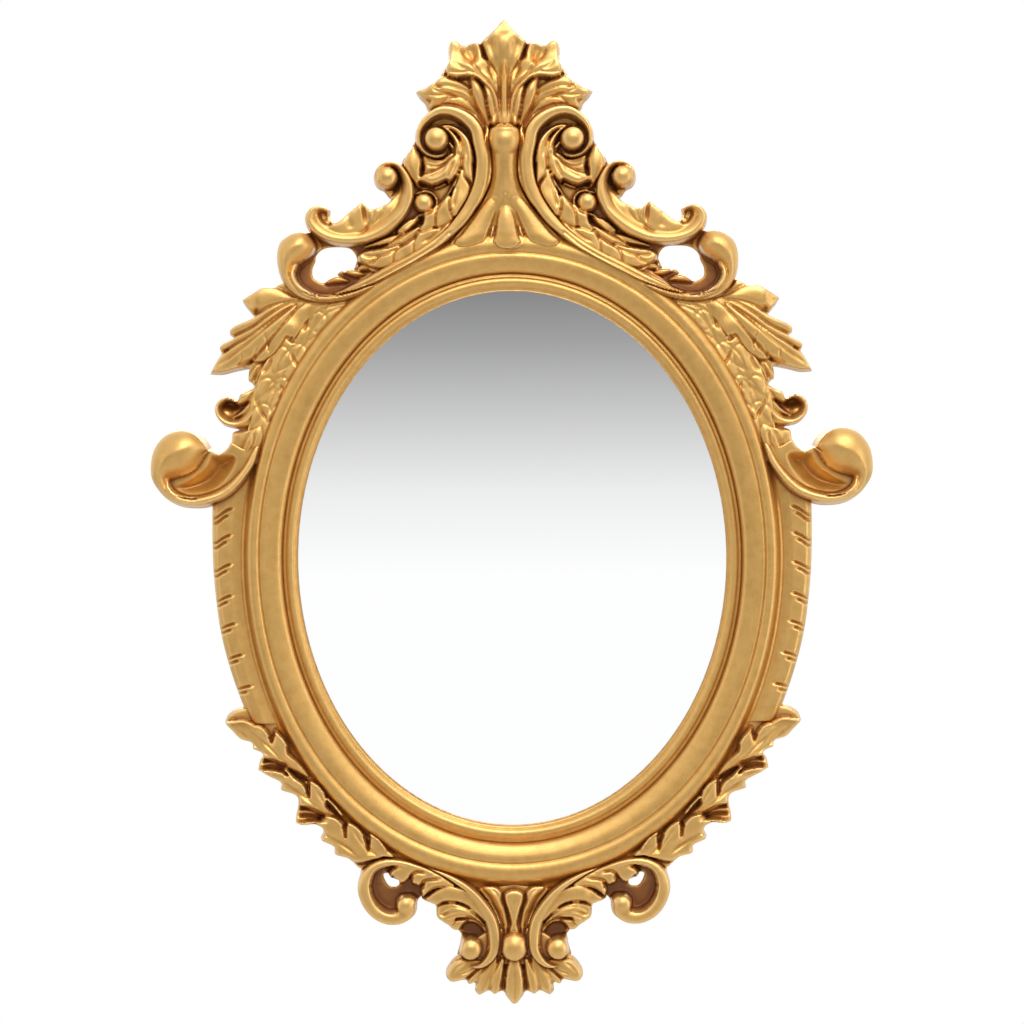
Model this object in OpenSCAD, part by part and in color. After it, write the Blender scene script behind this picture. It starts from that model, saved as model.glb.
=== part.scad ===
// Ornate oval wall mirror: a moulded ring round an oval glass, with applied crest, shoulders, swags and foot.
// Everything is drawn lying on its back, x to the right, y up and z towards the viewer, and stood up at the end.

/* [Oval] */
// Half width of the glass that shows
sight_w = 165.6; // [150:0.2:185]
// Half height of the glass that shows
sight_h = 206.4; // [195:0.2:230]
// How much wider the ring is at the top and bottom than at the sides, as a share
widen = 0.07; // [0:0.01:0.1]

/* [Moulding] */
// Width of the ring from the glass to its outer wall
ring_w = 48.4; // [44:0.2:54]
// Height of the ring's broad crown above the wall
crown_h = 30; // [26:0.5:36]
// Height of the lowest part of the outer cove
cove_h = 18; // [14:0.5:20]
// Distance from the glass to the sharp ridge
ridge_at = 36.8; // [35:0.1:38]
// Width of the wall rim at the back
rim_w = 18.4; // [14:0.2:19]
// Depth of the back recess that holds the hangers and the turn buttons
recess_t = 7; // [6.5:0.1:8]

/* [Glass and backing] */
// Width of the lip in front of the glass
lip_w = 8; // [6:0.5:10]
// Clearance round the glass and the board
glass_gap = 0.8; // [0.4:0.1:1.5]
// Thickness of the glass
glass_t = 3; // [2:0.5:4]
// Thickness of the foam tape
tape_t = 1; // [0.5:0.5:2]
// Width of the foam tape
tape_w = 5; // [3:0.5:8]
// Thickness of the backing board
board_t = 2.5; // [2:0.5:4]

/* [Turn buttons] */
// Distance of the turn screws from the glass
turn_at = 17; // [15:0.5:19]
// Long arm of a turn button
turn_arm = 14; // [12:0.5:16]
// Width of a turn button
turn_w = 8; // [7:0.5:10]
// Thickness of a turn button
turn_t = 1.2; // [1:0.1:1.5]
// Radius of the turn screws
turn_screw_r = 1.65; // [1.4:0.05:2]
// Radius of the turn screws' heads
turn_head_r = 3; // [2.6:0.1:3.5]
// Gap between the board and a turn button
turn_gap = 0.3; // [0.2:0.05:0.5]

/* [Hangers] */
// Height of the D-rings' bars above the oval's centre
hang_y = 60; // [40:1:66]
// Radius of the D-ring wire
wire_r = 1.25; // [1:0.05:1.5]
// Half width of a D-ring at the middle of its wire
dring_r = 7; // [6:0.25:8]
// Length of a D-ring's straight legs
dring_leg = 7; // [5:0.5:8]
// Running clearance of the bar in the folded strap
bar_gap = 0.05; // [0.02:0.01:0.1]
// Thickness of the strap
strap_t = 1; // [0.8:0.1:1.2]
// Width of the strap
strap_w = 8; // [7:0.5:10]
// Length of the strap below the bar
strap_l = 35; // [32:1:40]
// Radius of the hanger screws
hang_screw_r = 1.5; // [1.2:0.1:1.8]
// Radius of the hanger screws' heads
hang_head_r = 2.8; // [2.4:0.1:3]

/* [Ornaments] */
// Thickness of the plates that carry the crest and the foot
plate_t = 8; // [6:0.5:10]
// Height of the ornaments' outer edges above the wall
edge_h = 20; // [17:0.5:24]
// Height of the leaves above the wall
leaf_h = 30; // [27:0.5:36]
// Height of the scrolls above the wall
scroll_h = 36; // [32:0.5:42]
// Height of the balls above the wall
ball_h = 44; // [40:0.5:50]
// Width of the big volutes
volute_w = 15; // [12:0.5:17]
// Width of the big volutes' inner ends
volute_tip_w = 6; // [5:0.5:8]
// Width of the smaller scrolls
scroll_w = 11; // [9:0.5:13]
// Height of the notched side bands above the wall
band_h = 17; // [14:0.5:20]
// Glue line between an ornament and what carries it
glue_gap = 0.2; // [0.1:0.05:0.3]
// Radius of the ornament screws
orn_screw_r = 1.8; // [1.5:0.1:2.2]
// Length of the ornament screws
orn_screw_l = 18; // [15:0.5:20]
// Radius of the ornament screws' countersunk heads
orn_head_r = 3.6; // [3.2:0.1:4]

/* [Hidden] */
$fn = 48;

oval_n = 80;
seat_w = ridge_at + 1.7;
lip_back = recess_t + board_t + tape_t + glass_t;
pane_off = lip_w - glass_gap;
hang_a = asin(hang_y / (sight_h + turn_at + 2));
hang_x = (sight_w + turn_at + 2) * cos(hang_a) - 1;
knuckle_r = wire_r + bar_gap + strap_t;
bar_z = recess_t - knuckle_r - 0.3;
base_z = plate_t + glue_gap;
tall = 60;
eps = 0.01;

gold = "#c79b58";
steel = "#b9bcc0";

// The ornaments are drawn for a ring whose outer wall lies this far from the centre, and move with that wall
drawn_w = 210.612;
drawn_h = 258.188;
fit_x = (sight_w + ring_w * (1 - widen)) / drawn_w;
fit_y = (sight_h + ring_w * (1 + widen)) / drawn_h;

// A point, or a list of points or of lists of points, moved with the ring's outer wall
function fitted(p) = is_num(p.x) ? [p.x * fit_x, p.y * fit_y] : [for (q = p) fitted(q)];

// Right-hand outlines and middle lines of the ornaments, in millimetres from the oval's centre
volute_body = fitted([[54.5, 307.5], [61.5, 311], [66, 319], [65, 330], [58, 338.5], [46, 342], [32, 338.5],
    [22, 328], [18, 311], [17.5, 298], [22.5, 280], [31, 263], [42.5, 248.5], [56, 237], [77, 223],
    [102, 209], [120, 203], [138, 201], [153, 206], [163, 216], [167, 230]]);
volute_ball = fitted([52.5, 321.5]);
end_ball = fitted([163, 240]);
cscroll_line = fitted([[87, 301], [78, 296], [74, 285], [78, 267], [89, 253], [104, 245.5], [120, 243],
    [136, 247], [148, 256]]);
cscroll_ball = fitted([90.5, 294]);
cscroll_end = fitted([147, 262]);
cscroll_leaf = fitted([[79, 268], [94.5, 277], [99, 273], [111, 276.5], [121, 262], [132, 252], [118, 244],
    [95, 250]]);
post_half = fitted([[0, 334], [8, 332], [11.2, 327], [9.5, 321], [9.2, 298], [11.5, 287], [20, 266],
    [34, 243], [32, 237], [24, 237], [12, 246], [7.5, 238], [0, 236.5]]);
knob_at = fitted([0, 327]);
knob_r = 11;
crest_half = fitted([[0, 416.5], [7.5, 409], [16.5, 399.5], [30, 398], [41, 399], [43.5, 389], [45, 378],
    [52, 371.5], [70.5, 360.5], [64.5, 351], [60, 344], [44, 340], [24, 332], [11, 320], [0, 320]]);
crest_lobes = fitted([[[0, 413], [9, 400], [7, 345], [0, 336]], [[38, 396], [20, 394], [10, 345], [36, 372]],
    [[66, 360], [44, 373], [16, 346], [52, 350]]]);
crest_fill = fitted([[12, 322], [22, 296], [24, 282], [33, 264], [46, 249], [60, 238], [80, 226], [104, 214],
    [117, 226], [108, 242], [92, 248], [80, 262], [73, 276], [71, 290], [76, 306], [72, 318], [60, 334],
    [40, 336], [24, 332]]);
feather_line = fitted([[63, 300], [60, 284], [60, 268], [68, 256], [80, 244], [94, 234], [106, 226]]);
plate_half = fitted([[0, 406], [14, 394], [36, 392], [41, 372], [58, 358], [57, 344], [70, 332], [72, 314],
    [92, 300], [95, 288], [80, 280], [84, 262], [104, 250], [112, 247], [112, 180], [0, 200]]);
shoulder_outline = fitted([[170, 201], [178, 210.5], [193, 208.5], [209.5, 200], [203.5, 190.5], [217, 175.5],
    [217, 169.5], [226, 163], [225, 157], [233, 143.5], [222.5, 142], [208, 146], [203, 135], [200, 130],
    [217.5, 124], [228, 118.5], [229, 110], [222, 103], [213, 102], [216, 92], [211, 82], [203, 96],
    [196, 118], [189, 140], [178, 164], [164, 184]]);
shoulder_veins = fitted([[[172, 199], [206, 197], [184, 184]], [[184, 180], [214, 173], [190, 166]],
    [[190, 160], [228, 147], [195, 142]]]);
quill_line = fitted([[150, 192], [163, 180], [175, 164], [185, 145], [192, 126], [198, 107], [204, 88]]);
quill_edge = fitted([[140, 200], [158, 199], [175, 201], [178, 190], [186, 168], [194, 146], [201, 122],
    [208, 100], [212, 82], [204, 76], [160, 120], [120, 180]]);
side_arm = fitted([[205, 92], [211, 72], [222, 56], [237, 47], [252, 45], [265, 51], [273, 63], [274, 77],
    [268, 89]]);
side_ball = fitted([257.5, 78.5]);
side_fill = fitted([[203, 86], [216, 88], [232, 82], [240, 70], [262, 60], [255, 47], [232, 46], [212, 50],
    [203, 40], [196, 60]]);
band_edge = fitted([[231, 44], [231.5, 20], [231.2, -6], [229.5, -30], [226, -54], [221, -76], [214, -98],
    [207, -118]]);
lower_outline = fitted([[212.5, -113], [223.5, -126], [215, -136], [203, -144], [196, -155], [197.5, -163.5],
    [188, -171], [180, -179], [168.5, -184.5], [168, -203.5], [161.5, -207.5], [150, -212], [149.5, -219],
    [139, -227], [128, -233], [119.5, -238], [106, -231], [96, -220], [112, -206], [130, -196], [146, -178],
    [160, -160], [176, -138], [190, -122], [202, -112]]);
lower_lobes = fitted([[[209, -118], [219, -127], [203, -140], [182, -160], [176, -150], [190, -130]],
    [[180, -158], [193, -164], [184, -173], [164, -188], [150, -196], [146, -188], [160, -174]], [[148, -196],
    [165, -204], [148, -209], [126, -229], [108, -226], [116, -216], [132, -206]]]);
foot_line = fitted([[116, -240], [116, -256], [109, -271], [97, -278], [85, -276], [78, -267]]);
foot_knob = fitted([84.5, -264.5]);
foot_bar = fitted([[116, -236], [102, -232], [86, -234], [70, -240], [60, -247]]);
foot_curl = fitted([[78, -236], [68, -238.5], [54, -245.5], [39, -256], [27.5, -268], [19.5, -282],
    [16, -296], [18.5, -307], [26, -313]]);
foot_bead = fitted([33, -303.5]);
foot_fill = fitted([[71, -264], [59.5, -273], [58.5, -280], [47, -283], [42, -294], [21, -287], [28, -268],
    [39, -256], [54, -246], [70, -239], [76, -246]]);
stem_half = fitted([[0, -246], [8, -247], [18, -251], [22, -258], [14, -262], [7, -270], [8, -284],
    [9.6, -292], [9.6, -304], [6, -311], [0, -313]]);
egg_at = fitted([0, -299.5]);
egg_r = 9.6;
pendant_half = fitted([[0, -344.5], [5, -340], [10, -336.5], [19, -335], [27, -338], [31, -331], [37, -329],
    [47.5, -328.5], [54, -323.5], [49, -313], [43, -305], [46, -294], [40, -290], [30, -284], [20, -280],
    [0, -280]]);
foot_plate_half = fitted([[0, -338], [16, -332], [30, -326], [44, -322], [44, -306], [40, -292], [52, -276],
    [66, -262], [84, -246], [90, -232], [60, -225], [0, -235]]);
crest_screws = concat(fitted([[0, 368], [0, 300]]), [volute_ball, [-volute_ball.x, volute_ball.y]],
    fitted([[86, 263], [-86, 263]]));
foot_screws = fitted([[0, -262], [0, -324], [60, -260], [-60, -260]]);

// A half outline with its mirror image
function both(h) = concat(h, [for (i = [len(h) - 1:-1:0]) if (abs(h[i].x) > eps) [-h[i].x, h[i].y]]);

// A smooth curve through the points p, n steps to each stretch
function pt(p, i) = p[max(0, min(len(p) - 1, i))];
function blend(p, i, t) = 0.5 * (2 * pt(p, i) + (pt(p, i + 1) - pt(p, i - 1)) * t
    + (2 * pt(p, i - 1) - 5 * pt(p, i) + 4 * pt(p, i + 1) - pt(p, i + 2)) * t ^ 2
    + (3 * pt(p, i) - pt(p, i - 1) - 3 * pt(p, i + 1) + pt(p, i + 2)) * t ^ 3);
function curve(p, n = 3) = [for (i = [0:len(p) - 2]) for (j = [0:n - 1]) blend(p, i, j / n), p[len(p) - 1]];
function side(c, i) = let (d = pt(c, i + 1) - pt(c, i - 1)) [-d.y, d.x] / norm(d);
function ribbon(c, w0, w1) = let (n = len(c) - 1) concat(
    [for (i = [0:n]) c[i] + side(c, i) * (w0 + (w1 - w0) * i / n) / 2],
    [for (i = [n:-1:0]) c[i] - side(c, i) * (w0 + (w1 - w0) * i / n) / 2]);

module slab(z0, z1) {
    translate([0, 0, z0]) linear_extrude(z1 - z0) children();
}

module stand() {
    rotate([90, 0, 0]) children();
}

module hand(s) {
    if (s > 0) children();
    else mirror([1, 0, 0]) children();
}

// The line round the oval at one distance from the visible glass
function oval_normal(a) = let (n = [cos(a) / sight_w, sin(a) / sight_h]) n / norm(n);
function oval_at(a, off) = [sight_w * cos(a), sight_h * sin(a)] + oval_normal(a) * off * (1 - widen * cos(2 * a));
function oval(off) = [for (k = [0:oval_n - 1]) oval_at(360 * k / oval_n, off)];

// A flat oval disc whose edge lies off outside the visible glass
module oval_disc(off, z0, z1) {
    slab(z0, z1) polygon(oval(off));
}

// A closed section, drawn with x as the distance from the visible glass, carried round the oval
module round_oval(section) {
    m = len(section);
    points = [for (k = [0:oval_n - 1]) for (s = section)
        let (p = oval_at(360 * k / oval_n, s.x)) [p.x, p.y, s.y]];
    faces = [for (k = [0:oval_n - 1]) for (i = [0:m - 1])
        let (a = k * m, b = (k + 1) % oval_n * m, j = (i + 1) % m) each [[a + i, b + i, b + j], [a + i, b + j, a + j]]];
    polyhedron(points, faces);
}

// What the ornaments leave free for the ring
module ring_room() {
    oval_disc(seat_w, -1, tall);
    oval_disc(ring_w + glue_gap, -1, crown_h * 0.8 + glue_gap);
}

ring_section = [[0, lip_back], [0, lip_back + 3.5], [2.6, lip_back + 4.2], [4.2, lip_back + 7],
    [6.6, lip_back + 8], [9, lip_back + 6.8], [10.4, lip_back + 3.6], [11.8, lip_back + 4], [13.2, crown_h - 7],
    [15.5, crown_h - 3.2], [18.5, crown_h - 0.8], [21.5, crown_h], [24.5, crown_h - 0.8],
    [27.6, crown_h - 3.2], [30.2, crown_h - 5.4], [32.6, crown_h - 4.4], [35.4, crown_h - 1.4],
    [ridge_at, crown_h - 0.6], [ridge_at + 1.2, crown_h * 0.78], [ridge_at + 3.2, cove_h + 2],
    [ridge_at + 6, cove_h], [ring_w - 2.4, cove_h - 0.4], [ring_w, cove_h - 2], [ring_w, 0],
    [ring_w - rim_w, 0], [ring_w - rim_w, recess_t], [lip_w, recess_t], [lip_w, lip_back]];

module at_turns() {
    for (p = [[0, sight_h + turn_at, 180], [sight_w + turn_at, 0, 90], [0, -sight_h - turn_at, 0],
        [-sight_w - turn_at, 0, -90]]) translate([p.x, p.y]) rotate(p.z) children();
}

module at_hanger_screws() {
    for (s = [-1, 1]) for (d = [20, 30]) translate([s * hang_x, hang_y - d]) children();
}

module oval_frame() {
    color(gold) stand() difference() {
        round_oval(ring_section);
        at_turns() translate([0, 0, recess_t - 1]) cylinder(h = 8.2, r = turn_screw_r + 0.05);
        at_hanger_screws() translate([0, 0, recess_t - 1]) cylinder(h = 8.2, r = hang_screw_r + 0.05);
    }
}

module mirror_glass() {
    color("#cfd6d8") stand() oval_disc(pane_off, lip_back - glass_t, lip_back);
}

module foam_tape() {
    color("#4a4a4c") stand() translate([0, 0, recess_t + board_t]) difference() {
        oval_disc(pane_off, 0, tape_t);
        oval_disc(pane_off - tape_w, -1, tape_t + 1);
    }
}

module backing_board() {
    color("#8a6a48") stand() oval_disc(pane_off, recess_t, recess_t + board_t);
}

module turn_button(i) {
    places = [[0, sight_h + turn_at, 180], [sight_w + turn_at, 0, 90], [0, -sight_h - turn_at, 0],
        [-sight_w - turn_at, 0, -90]];
    p = places[i];
    color(steel) stand() translate([p.x, p.y, recess_t - turn_gap - turn_t]) rotate(p.z) difference() {
        union() {
            cylinder(h = turn_t, r = turn_w / 2);
            translate([-turn_w / 2, 0]) cube([turn_w, turn_arm - turn_w / 2, turn_t]);
            translate([0, turn_arm - turn_w / 2]) cylinder(h = turn_t, r = turn_w / 2);
        }
        translate([0, 0, -1]) cylinder(h = turn_t + 2, r = turn_screw_r + bar_gap);
    }
}

// A screw along z whose head's underside is at z = 0, with its shank upwards
module pan_screw(r, head_r, head_h, l) {
    cylinder(h = l, r = r);
    difference() {
        translate([0, 0, -head_h]) cylinder(h = head_h, r1 = head_r * 0.8, r2 = head_r);
        translate([-head_r, -0.35, -head_h - 1]) cube([2 * head_r, 0.7, 1.7]);
    }
}

module turn_screws() {
    color("#c9a54f") stand() at_turns() translate([0, 0, recess_t - turn_gap - turn_t - 0.2])
        pan_screw(turn_screw_r, turn_head_r, 1.8, turn_gap + turn_t + 7);
}

module strap_hanger(s) {
    color(steel) stand() hand(s) translate([hang_x, hang_y]) difference() {
        union() {
            translate([-strap_w / 2, 0, bar_z]) rotate([0, 90, 0]) cylinder(h = strap_w, r = knuckle_r);
            translate([-strap_w / 2, -strap_l + strap_w / 2, recess_t - strap_t])
                cube([strap_w, strap_l - strap_w / 2, strap_t]);
            translate([0, -strap_l + strap_w / 2, recess_t - strap_t]) cylinder(h = strap_t, r = strap_w / 2);
            translate([-strap_w / 2, -knuckle_r, bar_z]) cube([strap_w, knuckle_r, recess_t - bar_z]);
        }
        translate([-strap_w, 0, bar_z]) rotate([0, 90, 0]) cylinder(h = 2 * strap_w, r = wire_r + bar_gap);
        for (d = [20, 30]) translate([0, -d, recess_t - strap_t - 1])
            cylinder(h = strap_t + 2, r = hang_screw_r + 0.05);
    }
}

module d_ring(s) {
    color("#d5d7da") stand() hand(s) translate([hang_x, hang_y, bar_z]) {
        translate([-dring_r, 0]) rotate([0, 90, 0]) cylinder(h = 2 * dring_r, r = wire_r);
        for (x = [-dring_r, dring_r]) {
            translate([x, 0]) sphere(wire_r);
            translate([x, 0]) rotate([90, 0, 0]) cylinder(h = dring_leg, r = wire_r);
        }
        translate([0, -dring_leg]) rotate_extrude(angle = 180, start = 180) translate([dring_r, 0]) circle(wire_r);
    }
}

module hanger_screws() {
    color(steel) stand() at_hanger_screws() translate([0, 0, recess_t - strap_t])
        pan_screw(hang_screw_r, hang_head_r, 1.8, 8);
}

// Plan shapes of the right-hand ornaments, each in real size
module volute_discs() {
    translate(volute_ball) circle(12.5);
    translate(end_ball) circle(15.4);
}

module volute_plan() {
    polygon(ribbon(curve(volute_body), volute_tip_w, volute_w));
    volute_discs();
}

module cscroll_plan() {
    polygon(ribbon(curve(cscroll_line), scroll_w, scroll_w));
    translate(cscroll_ball) circle(10.5);
    translate(cscroll_end) circle(9);
    polygon(cscroll_leaf);
}

module shoulder_plan() {
    polygon(shoulder_outline);
}

module quill_plan() {
    polygon(quill_edge);
}

module side_plan() {
    polygon(ribbon(curve(side_arm), scroll_w, scroll_w));
    translate(side_ball) circle(21.5);
    polygon(side_fill);
}

module lower_plan() {
    polygon(lower_outline);
}

module foot_scroll_plan() {
    polygon(ribbon(curve(foot_line), scroll_w * 0.9, scroll_w * 0.9));
    polygon(ribbon(curve(foot_bar), scroll_w * 0.7, scroll_w * 0.7));
    translate(foot_line[0]) circle(scroll_w * 0.45);
    translate(foot_knob) circle(7.5);
}

module foot_band_plan() {
    polygon(ribbon(curve(foot_curl), scroll_w * 0.8, scroll_w * 0.6));
    translate(foot_bead) circle(8.6);
    polygon(foot_fill);
}

// A band with a stepped round top along a middle line
module step_band(c, w0, w1, z0, z1) {
    for (k = [[1, 0.6], [0.7, 0.86], [0.36, 1]])
        slab(z0, z0 + (z1 - z0) * k.y) polygon(ribbon(c, w0 * k.x, w1 * k.x));
}

module dome(p, r, z0, z1) {
    translate([p.x, p.y, z0]) cylinder(h = z1 - r - z0, r = r);
    translate([p.x, p.y, z1 - r]) sphere(r);
}

module screw_hole(p) {
    translate([p.x, p.y, -1]) cylinder(h = orn_screw_l + 2, r = orn_screw_r + 0.05);
}

module crest_plate() {
    color(gold) stand() difference() {
        slab(0, plate_t) polygon(both(plate_half));
        oval_disc(ring_w + glue_gap, -1, plate_t + 1);
        for (p = crest_screws) {
            screw_hole(p);
            translate([p.x, p.y, -eps]) cylinder(h = orn_head_r, r1 = orn_head_r + 0.1, r2 = 0.1);
        }
    }
}

module foot_plate() {
    color(gold) stand() difference() {
        slab(0, plate_t) polygon(both(foot_plate_half));
        oval_disc(ring_w + glue_gap, -1, plate_t + 1);
        for (p = foot_screws) {
            screw_hole(p);
            translate([p.x, p.y, -eps]) cylinder(h = orn_head_r, r1 = orn_head_r + 0.1, r2 = 0.1);
        }
    }
}

module ornament_screws() {
    color(steel) stand() for (p = concat(crest_screws, foot_screws)) translate([p.x, p.y]) {
        cylinder(h = orn_screw_l, r = orn_screw_r);
        cylinder(h = orn_head_r - orn_screw_r, r1 = orn_head_r, r2 = orn_screw_r);
    }
}

module crest_volute(s) {
    color(gold) stand() hand(s) difference() {
        union() {
            slab(base_z, edge_h) volute_discs();
            step_band(curve(volute_body), volute_tip_w, volute_w, base_z, scroll_h);
            dome(volute_ball, 9.3, base_z, ball_h);
            dome(end_ball, 14, base_z, ball_h - 2);
        }
        ring_room();
        screw_hole(volute_ball);
    }
}

module crest_scroll(s) {
    color(gold) stand() hand(s) difference() {
        union() {
            slab(base_z, edge_h) cscroll_plan();
            slab(base_z, leaf_h - 3) polygon(cscroll_leaf);
            step_band(curve(cscroll_line), scroll_w, scroll_w, base_z, scroll_h - 3);
            dome(cscroll_ball, 7, base_z, ball_h - 6);
            dome(cscroll_end, 7.5, base_z, ball_h - 8);
        }
        slab(-1, tall) volute_plan();
        screw_hole(crest_screws[4]);
    }
}

module crest_post() {
    color(gold) stand() difference() {
        union() {
            slab(base_z, scroll_h - 4) polygon(both(post_half));
            dome(knob_at, knob_r, base_z, ball_h - 4);
        }
        ring_room();
        for (s = [-1, 1]) hand(s) slab(-1, tall) volute_plan();
        screw_hole(crest_screws[1]);
    }
}

module crest_leaf() {
    color(gold) stand() difference() {
        union() {
            slab(base_z, edge_h + 2) polygon(both(crest_half));
            slab(base_z, leaf_h + 4) polygon(both(crest_lobes[0]));
            for (s = [-1, 1]) hand(s) for (k = [1, 2]) slab(base_z, leaf_h) polygon(crest_lobes[k]);
        }
        for (s = [-1, 1]) hand(s) slab(-1, tall) volute_plan();
        slab(-1, tall) polygon(both(post_half));
        translate([knob_at.x, knob_at.y, -1]) cylinder(h = tall, r = knob_r + glue_gap);
        screw_hole(crest_screws[0]);
    }
}

// A pointed leaf of length l and width w along y
module blade(l, w) {
    edge = [for (k = [0:6]) [w / 2 * sin(30 * k), l / 2 * (k / 3 - 1)]];
    polygon(concat(edge, [for (k = [5:-1:1]) [-edge[k].x, edge[k].y]]));
}

module blade_row(line, l, w, z0, z1, n) {
    c = curve(line, 8);
    for (k = [0:n - 1]) {
        i = round(k * (len(c) - 1) / (n - 1));
        d = pt(c, i + 1) - pt(c, i - 1);
        translate([c[i].x, c[i].y]) rotate(atan2(d.y, d.x) - 90) slab(z0, z1 - (k % 2)) blade(l, w);
    }
}

module crest_feathers(s) {
    color(gold) stand() hand(s) difference() {
        union() {
            slab(base_z, edge_h + 2) polygon(crest_fill);
            blade_row(feather_line, 20, 9, base_z, leaf_h - 2, 7);
        }
        ring_room();
        slab(-1, tall) volute_plan();
        slab(-1, tall) cscroll_plan();
        slab(-1, tall) polygon(both(crest_half));
        slab(-1, tall) polygon(both(post_half));
    }
}

module shoulder_leaf(s) {
    color(gold) stand() hand(s) difference() {
        union() {
            slab(0, edge_h) shoulder_plan();
            for (v = shoulder_veins) slab(0, leaf_h) polygon(v);
        }
        oval_disc(ring_w + glue_gap, -1, tall);
        slab(-1, tall) volute_plan();
    }
}

module shoulder_feathers(s) {
    color(gold) stand() hand(s) difference() {
        union() {
            slab(0, edge_h + 1) quill_plan();
            intersection() {
                blade_row(quill_line, 24, 9, 0, leaf_h - 2, 8);
                slab(-1, tall) quill_plan();
            }
        }
        oval_disc(ring_w + glue_gap, -1, tall);
        slab(-1, tall) volute_plan();
        slab(-1, tall) shoulder_plan();
    }
}

module side_scroll(s) {
    color(gold) stand() hand(s) difference() {
        union() {
            slab(0, edge_h) side_plan();
            step_band(curve(side_arm), scroll_w, scroll_w, 0, scroll_h - 2);
            dome(side_ball, 20, 0, ball_h + 4);
        }
        oval_disc(ring_w + glue_gap, -1, tall);
        slab(-1, tall) shoulder_plan();
        slab(-1, tall) quill_plan();
    }
}

module side_band(s) {
    color(gold) stand() hand(s) difference() {
        slab(0, band_h) polygon(concat(curve(band_edge), fitted([[150, -118], [150, 44]])));
        oval_disc(ring_w + glue_gap, -1, tall);
        slab(-1, tall) side_plan();
        slab(-1, tall) lower_plan();
        for (y = [26:-22:-106]) translate([(235 - ((y + 8) / 62) ^ 2 * 5) * fit_x, y * fit_y, band_h])
            rotate(-24 + y / 8) cube([26, 1.6, 3], center = true);
    }
}

module lower_leaf(s) {
    color(gold) stand() hand(s) difference() {
        union() {
            slab(0, edge_h) lower_plan();
            for (k = [0:2]) slab(0, leaf_h - 2 + k) polygon(lower_lobes[k]);
        }
        oval_disc(ring_w + glue_gap, -1, tall);
    }
}

module foot_scroll(s) {
    color(gold) stand() hand(s) difference() {
        union() {
            slab(base_z, edge_h) foot_scroll_plan();
            step_band(curve(foot_line), scroll_w * 0.9, scroll_w * 0.9, base_z, scroll_h - 5);
            step_band(curve(foot_bar), scroll_w * 0.7, scroll_w * 0.7, base_z, leaf_h - 4);
            dome(foot_knob, 5.5, base_z, ball_h - 9);
        }
        ring_room();
        slab(-1, tall) lower_plan();
    }
}

module foot_band(s) {
    color(gold) stand() hand(s) difference() {
        union() {
            slab(base_z, edge_h) foot_band_plan();
            slab(base_z, leaf_h - 4) polygon(foot_fill);
            step_band(curve(foot_curl), scroll_w * 0.8, scroll_w * 0.6, base_z, scroll_h - 3);
            dome(foot_bead, 8, base_z, ball_h - 5);
        }
        ring_room();
        slab(-1, tall) lower_plan();
        slab(-1, tall) foot_scroll_plan();
        screw_hole(foot_screws[2]);
    }
}

module foot_palmette() {
    color(gold) stand() difference() {
        union() {
            slab(base_z, leaf_h) polygon(both(stem_half));
            dome(egg_at, egg_r, base_z, ball_h - 2);
        }
        ring_room();
        for (s = [-1, 1]) hand(s) slab(-1, tall) foot_band_plan();
        screw_hole(foot_screws[0]);
    }
}

module foot_leaf() {
    color(gold) stand() difference() {
        union() {
            slab(base_z, edge_h) polygon(both(pendant_half));
            slab(base_z, leaf_h) polygon(fitted([[0, -342], [7, -322], [0, -305], [-7, -322]]));
        }
        for (s = [-1, 1]) hand(s) slab(-1, tall) foot_band_plan();
        slab(-1, tall) polygon(both(stem_half));
        translate([egg_at.x, egg_at.y, -1]) cylinder(h = tall, r = egg_r + glue_gap);
        screw_hole(foot_screws[1]);
    }
}

oval_frame();
mirror_glass();
foam_tape();
backing_board();
turn_button(0);  // turn_button_top
turn_button(1);  // turn_button_right
turn_button(2);  // turn_button_bottom
turn_button(3);  // turn_button_left
turn_screws();
strap_hanger(-1);  // strap_hanger_left
strap_hanger(1);  // strap_hanger_right
d_ring(-1);  // d_ring_left
d_ring(1);  // d_ring_right
hanger_screws();
crest_plate();
crest_leaf();
crest_post();
crest_volute(-1);  // crest_volute_left
crest_volute(1);  // crest_volute_right
crest_scroll(-1);  // crest_scroll_left
crest_scroll(1);  // crest_scroll_right
crest_feathers(-1);  // crest_feathers_left
crest_feathers(1);  // crest_feathers_right
shoulder_leaf(-1);  // shoulder_leaf_left
shoulder_leaf(1);  // shoulder_leaf_right
shoulder_feathers(-1);  // shoulder_feathers_left
shoulder_feathers(1);  // shoulder_feathers_right
side_scroll(-1);  // side_scroll_left
side_scroll(1);  // side_scroll_right
side_band(-1);  // side_band_left
side_band(1);  // side_band_right
lower_leaf(-1);  // lower_leaf_left
lower_leaf(1);  // lower_leaf_right
foot_plate();
foot_scroll(-1);  // foot_scroll_left
foot_scroll(1);  // foot_scroll_right
foot_band(-1);  // foot_band_left
foot_band(1);  // foot_band_right
foot_palmette();
foot_leaf();
ornament_screws();
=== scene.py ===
import math

import bmesh
import bpy
import numpy as np
from mathutils import Matrix, Vector


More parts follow.
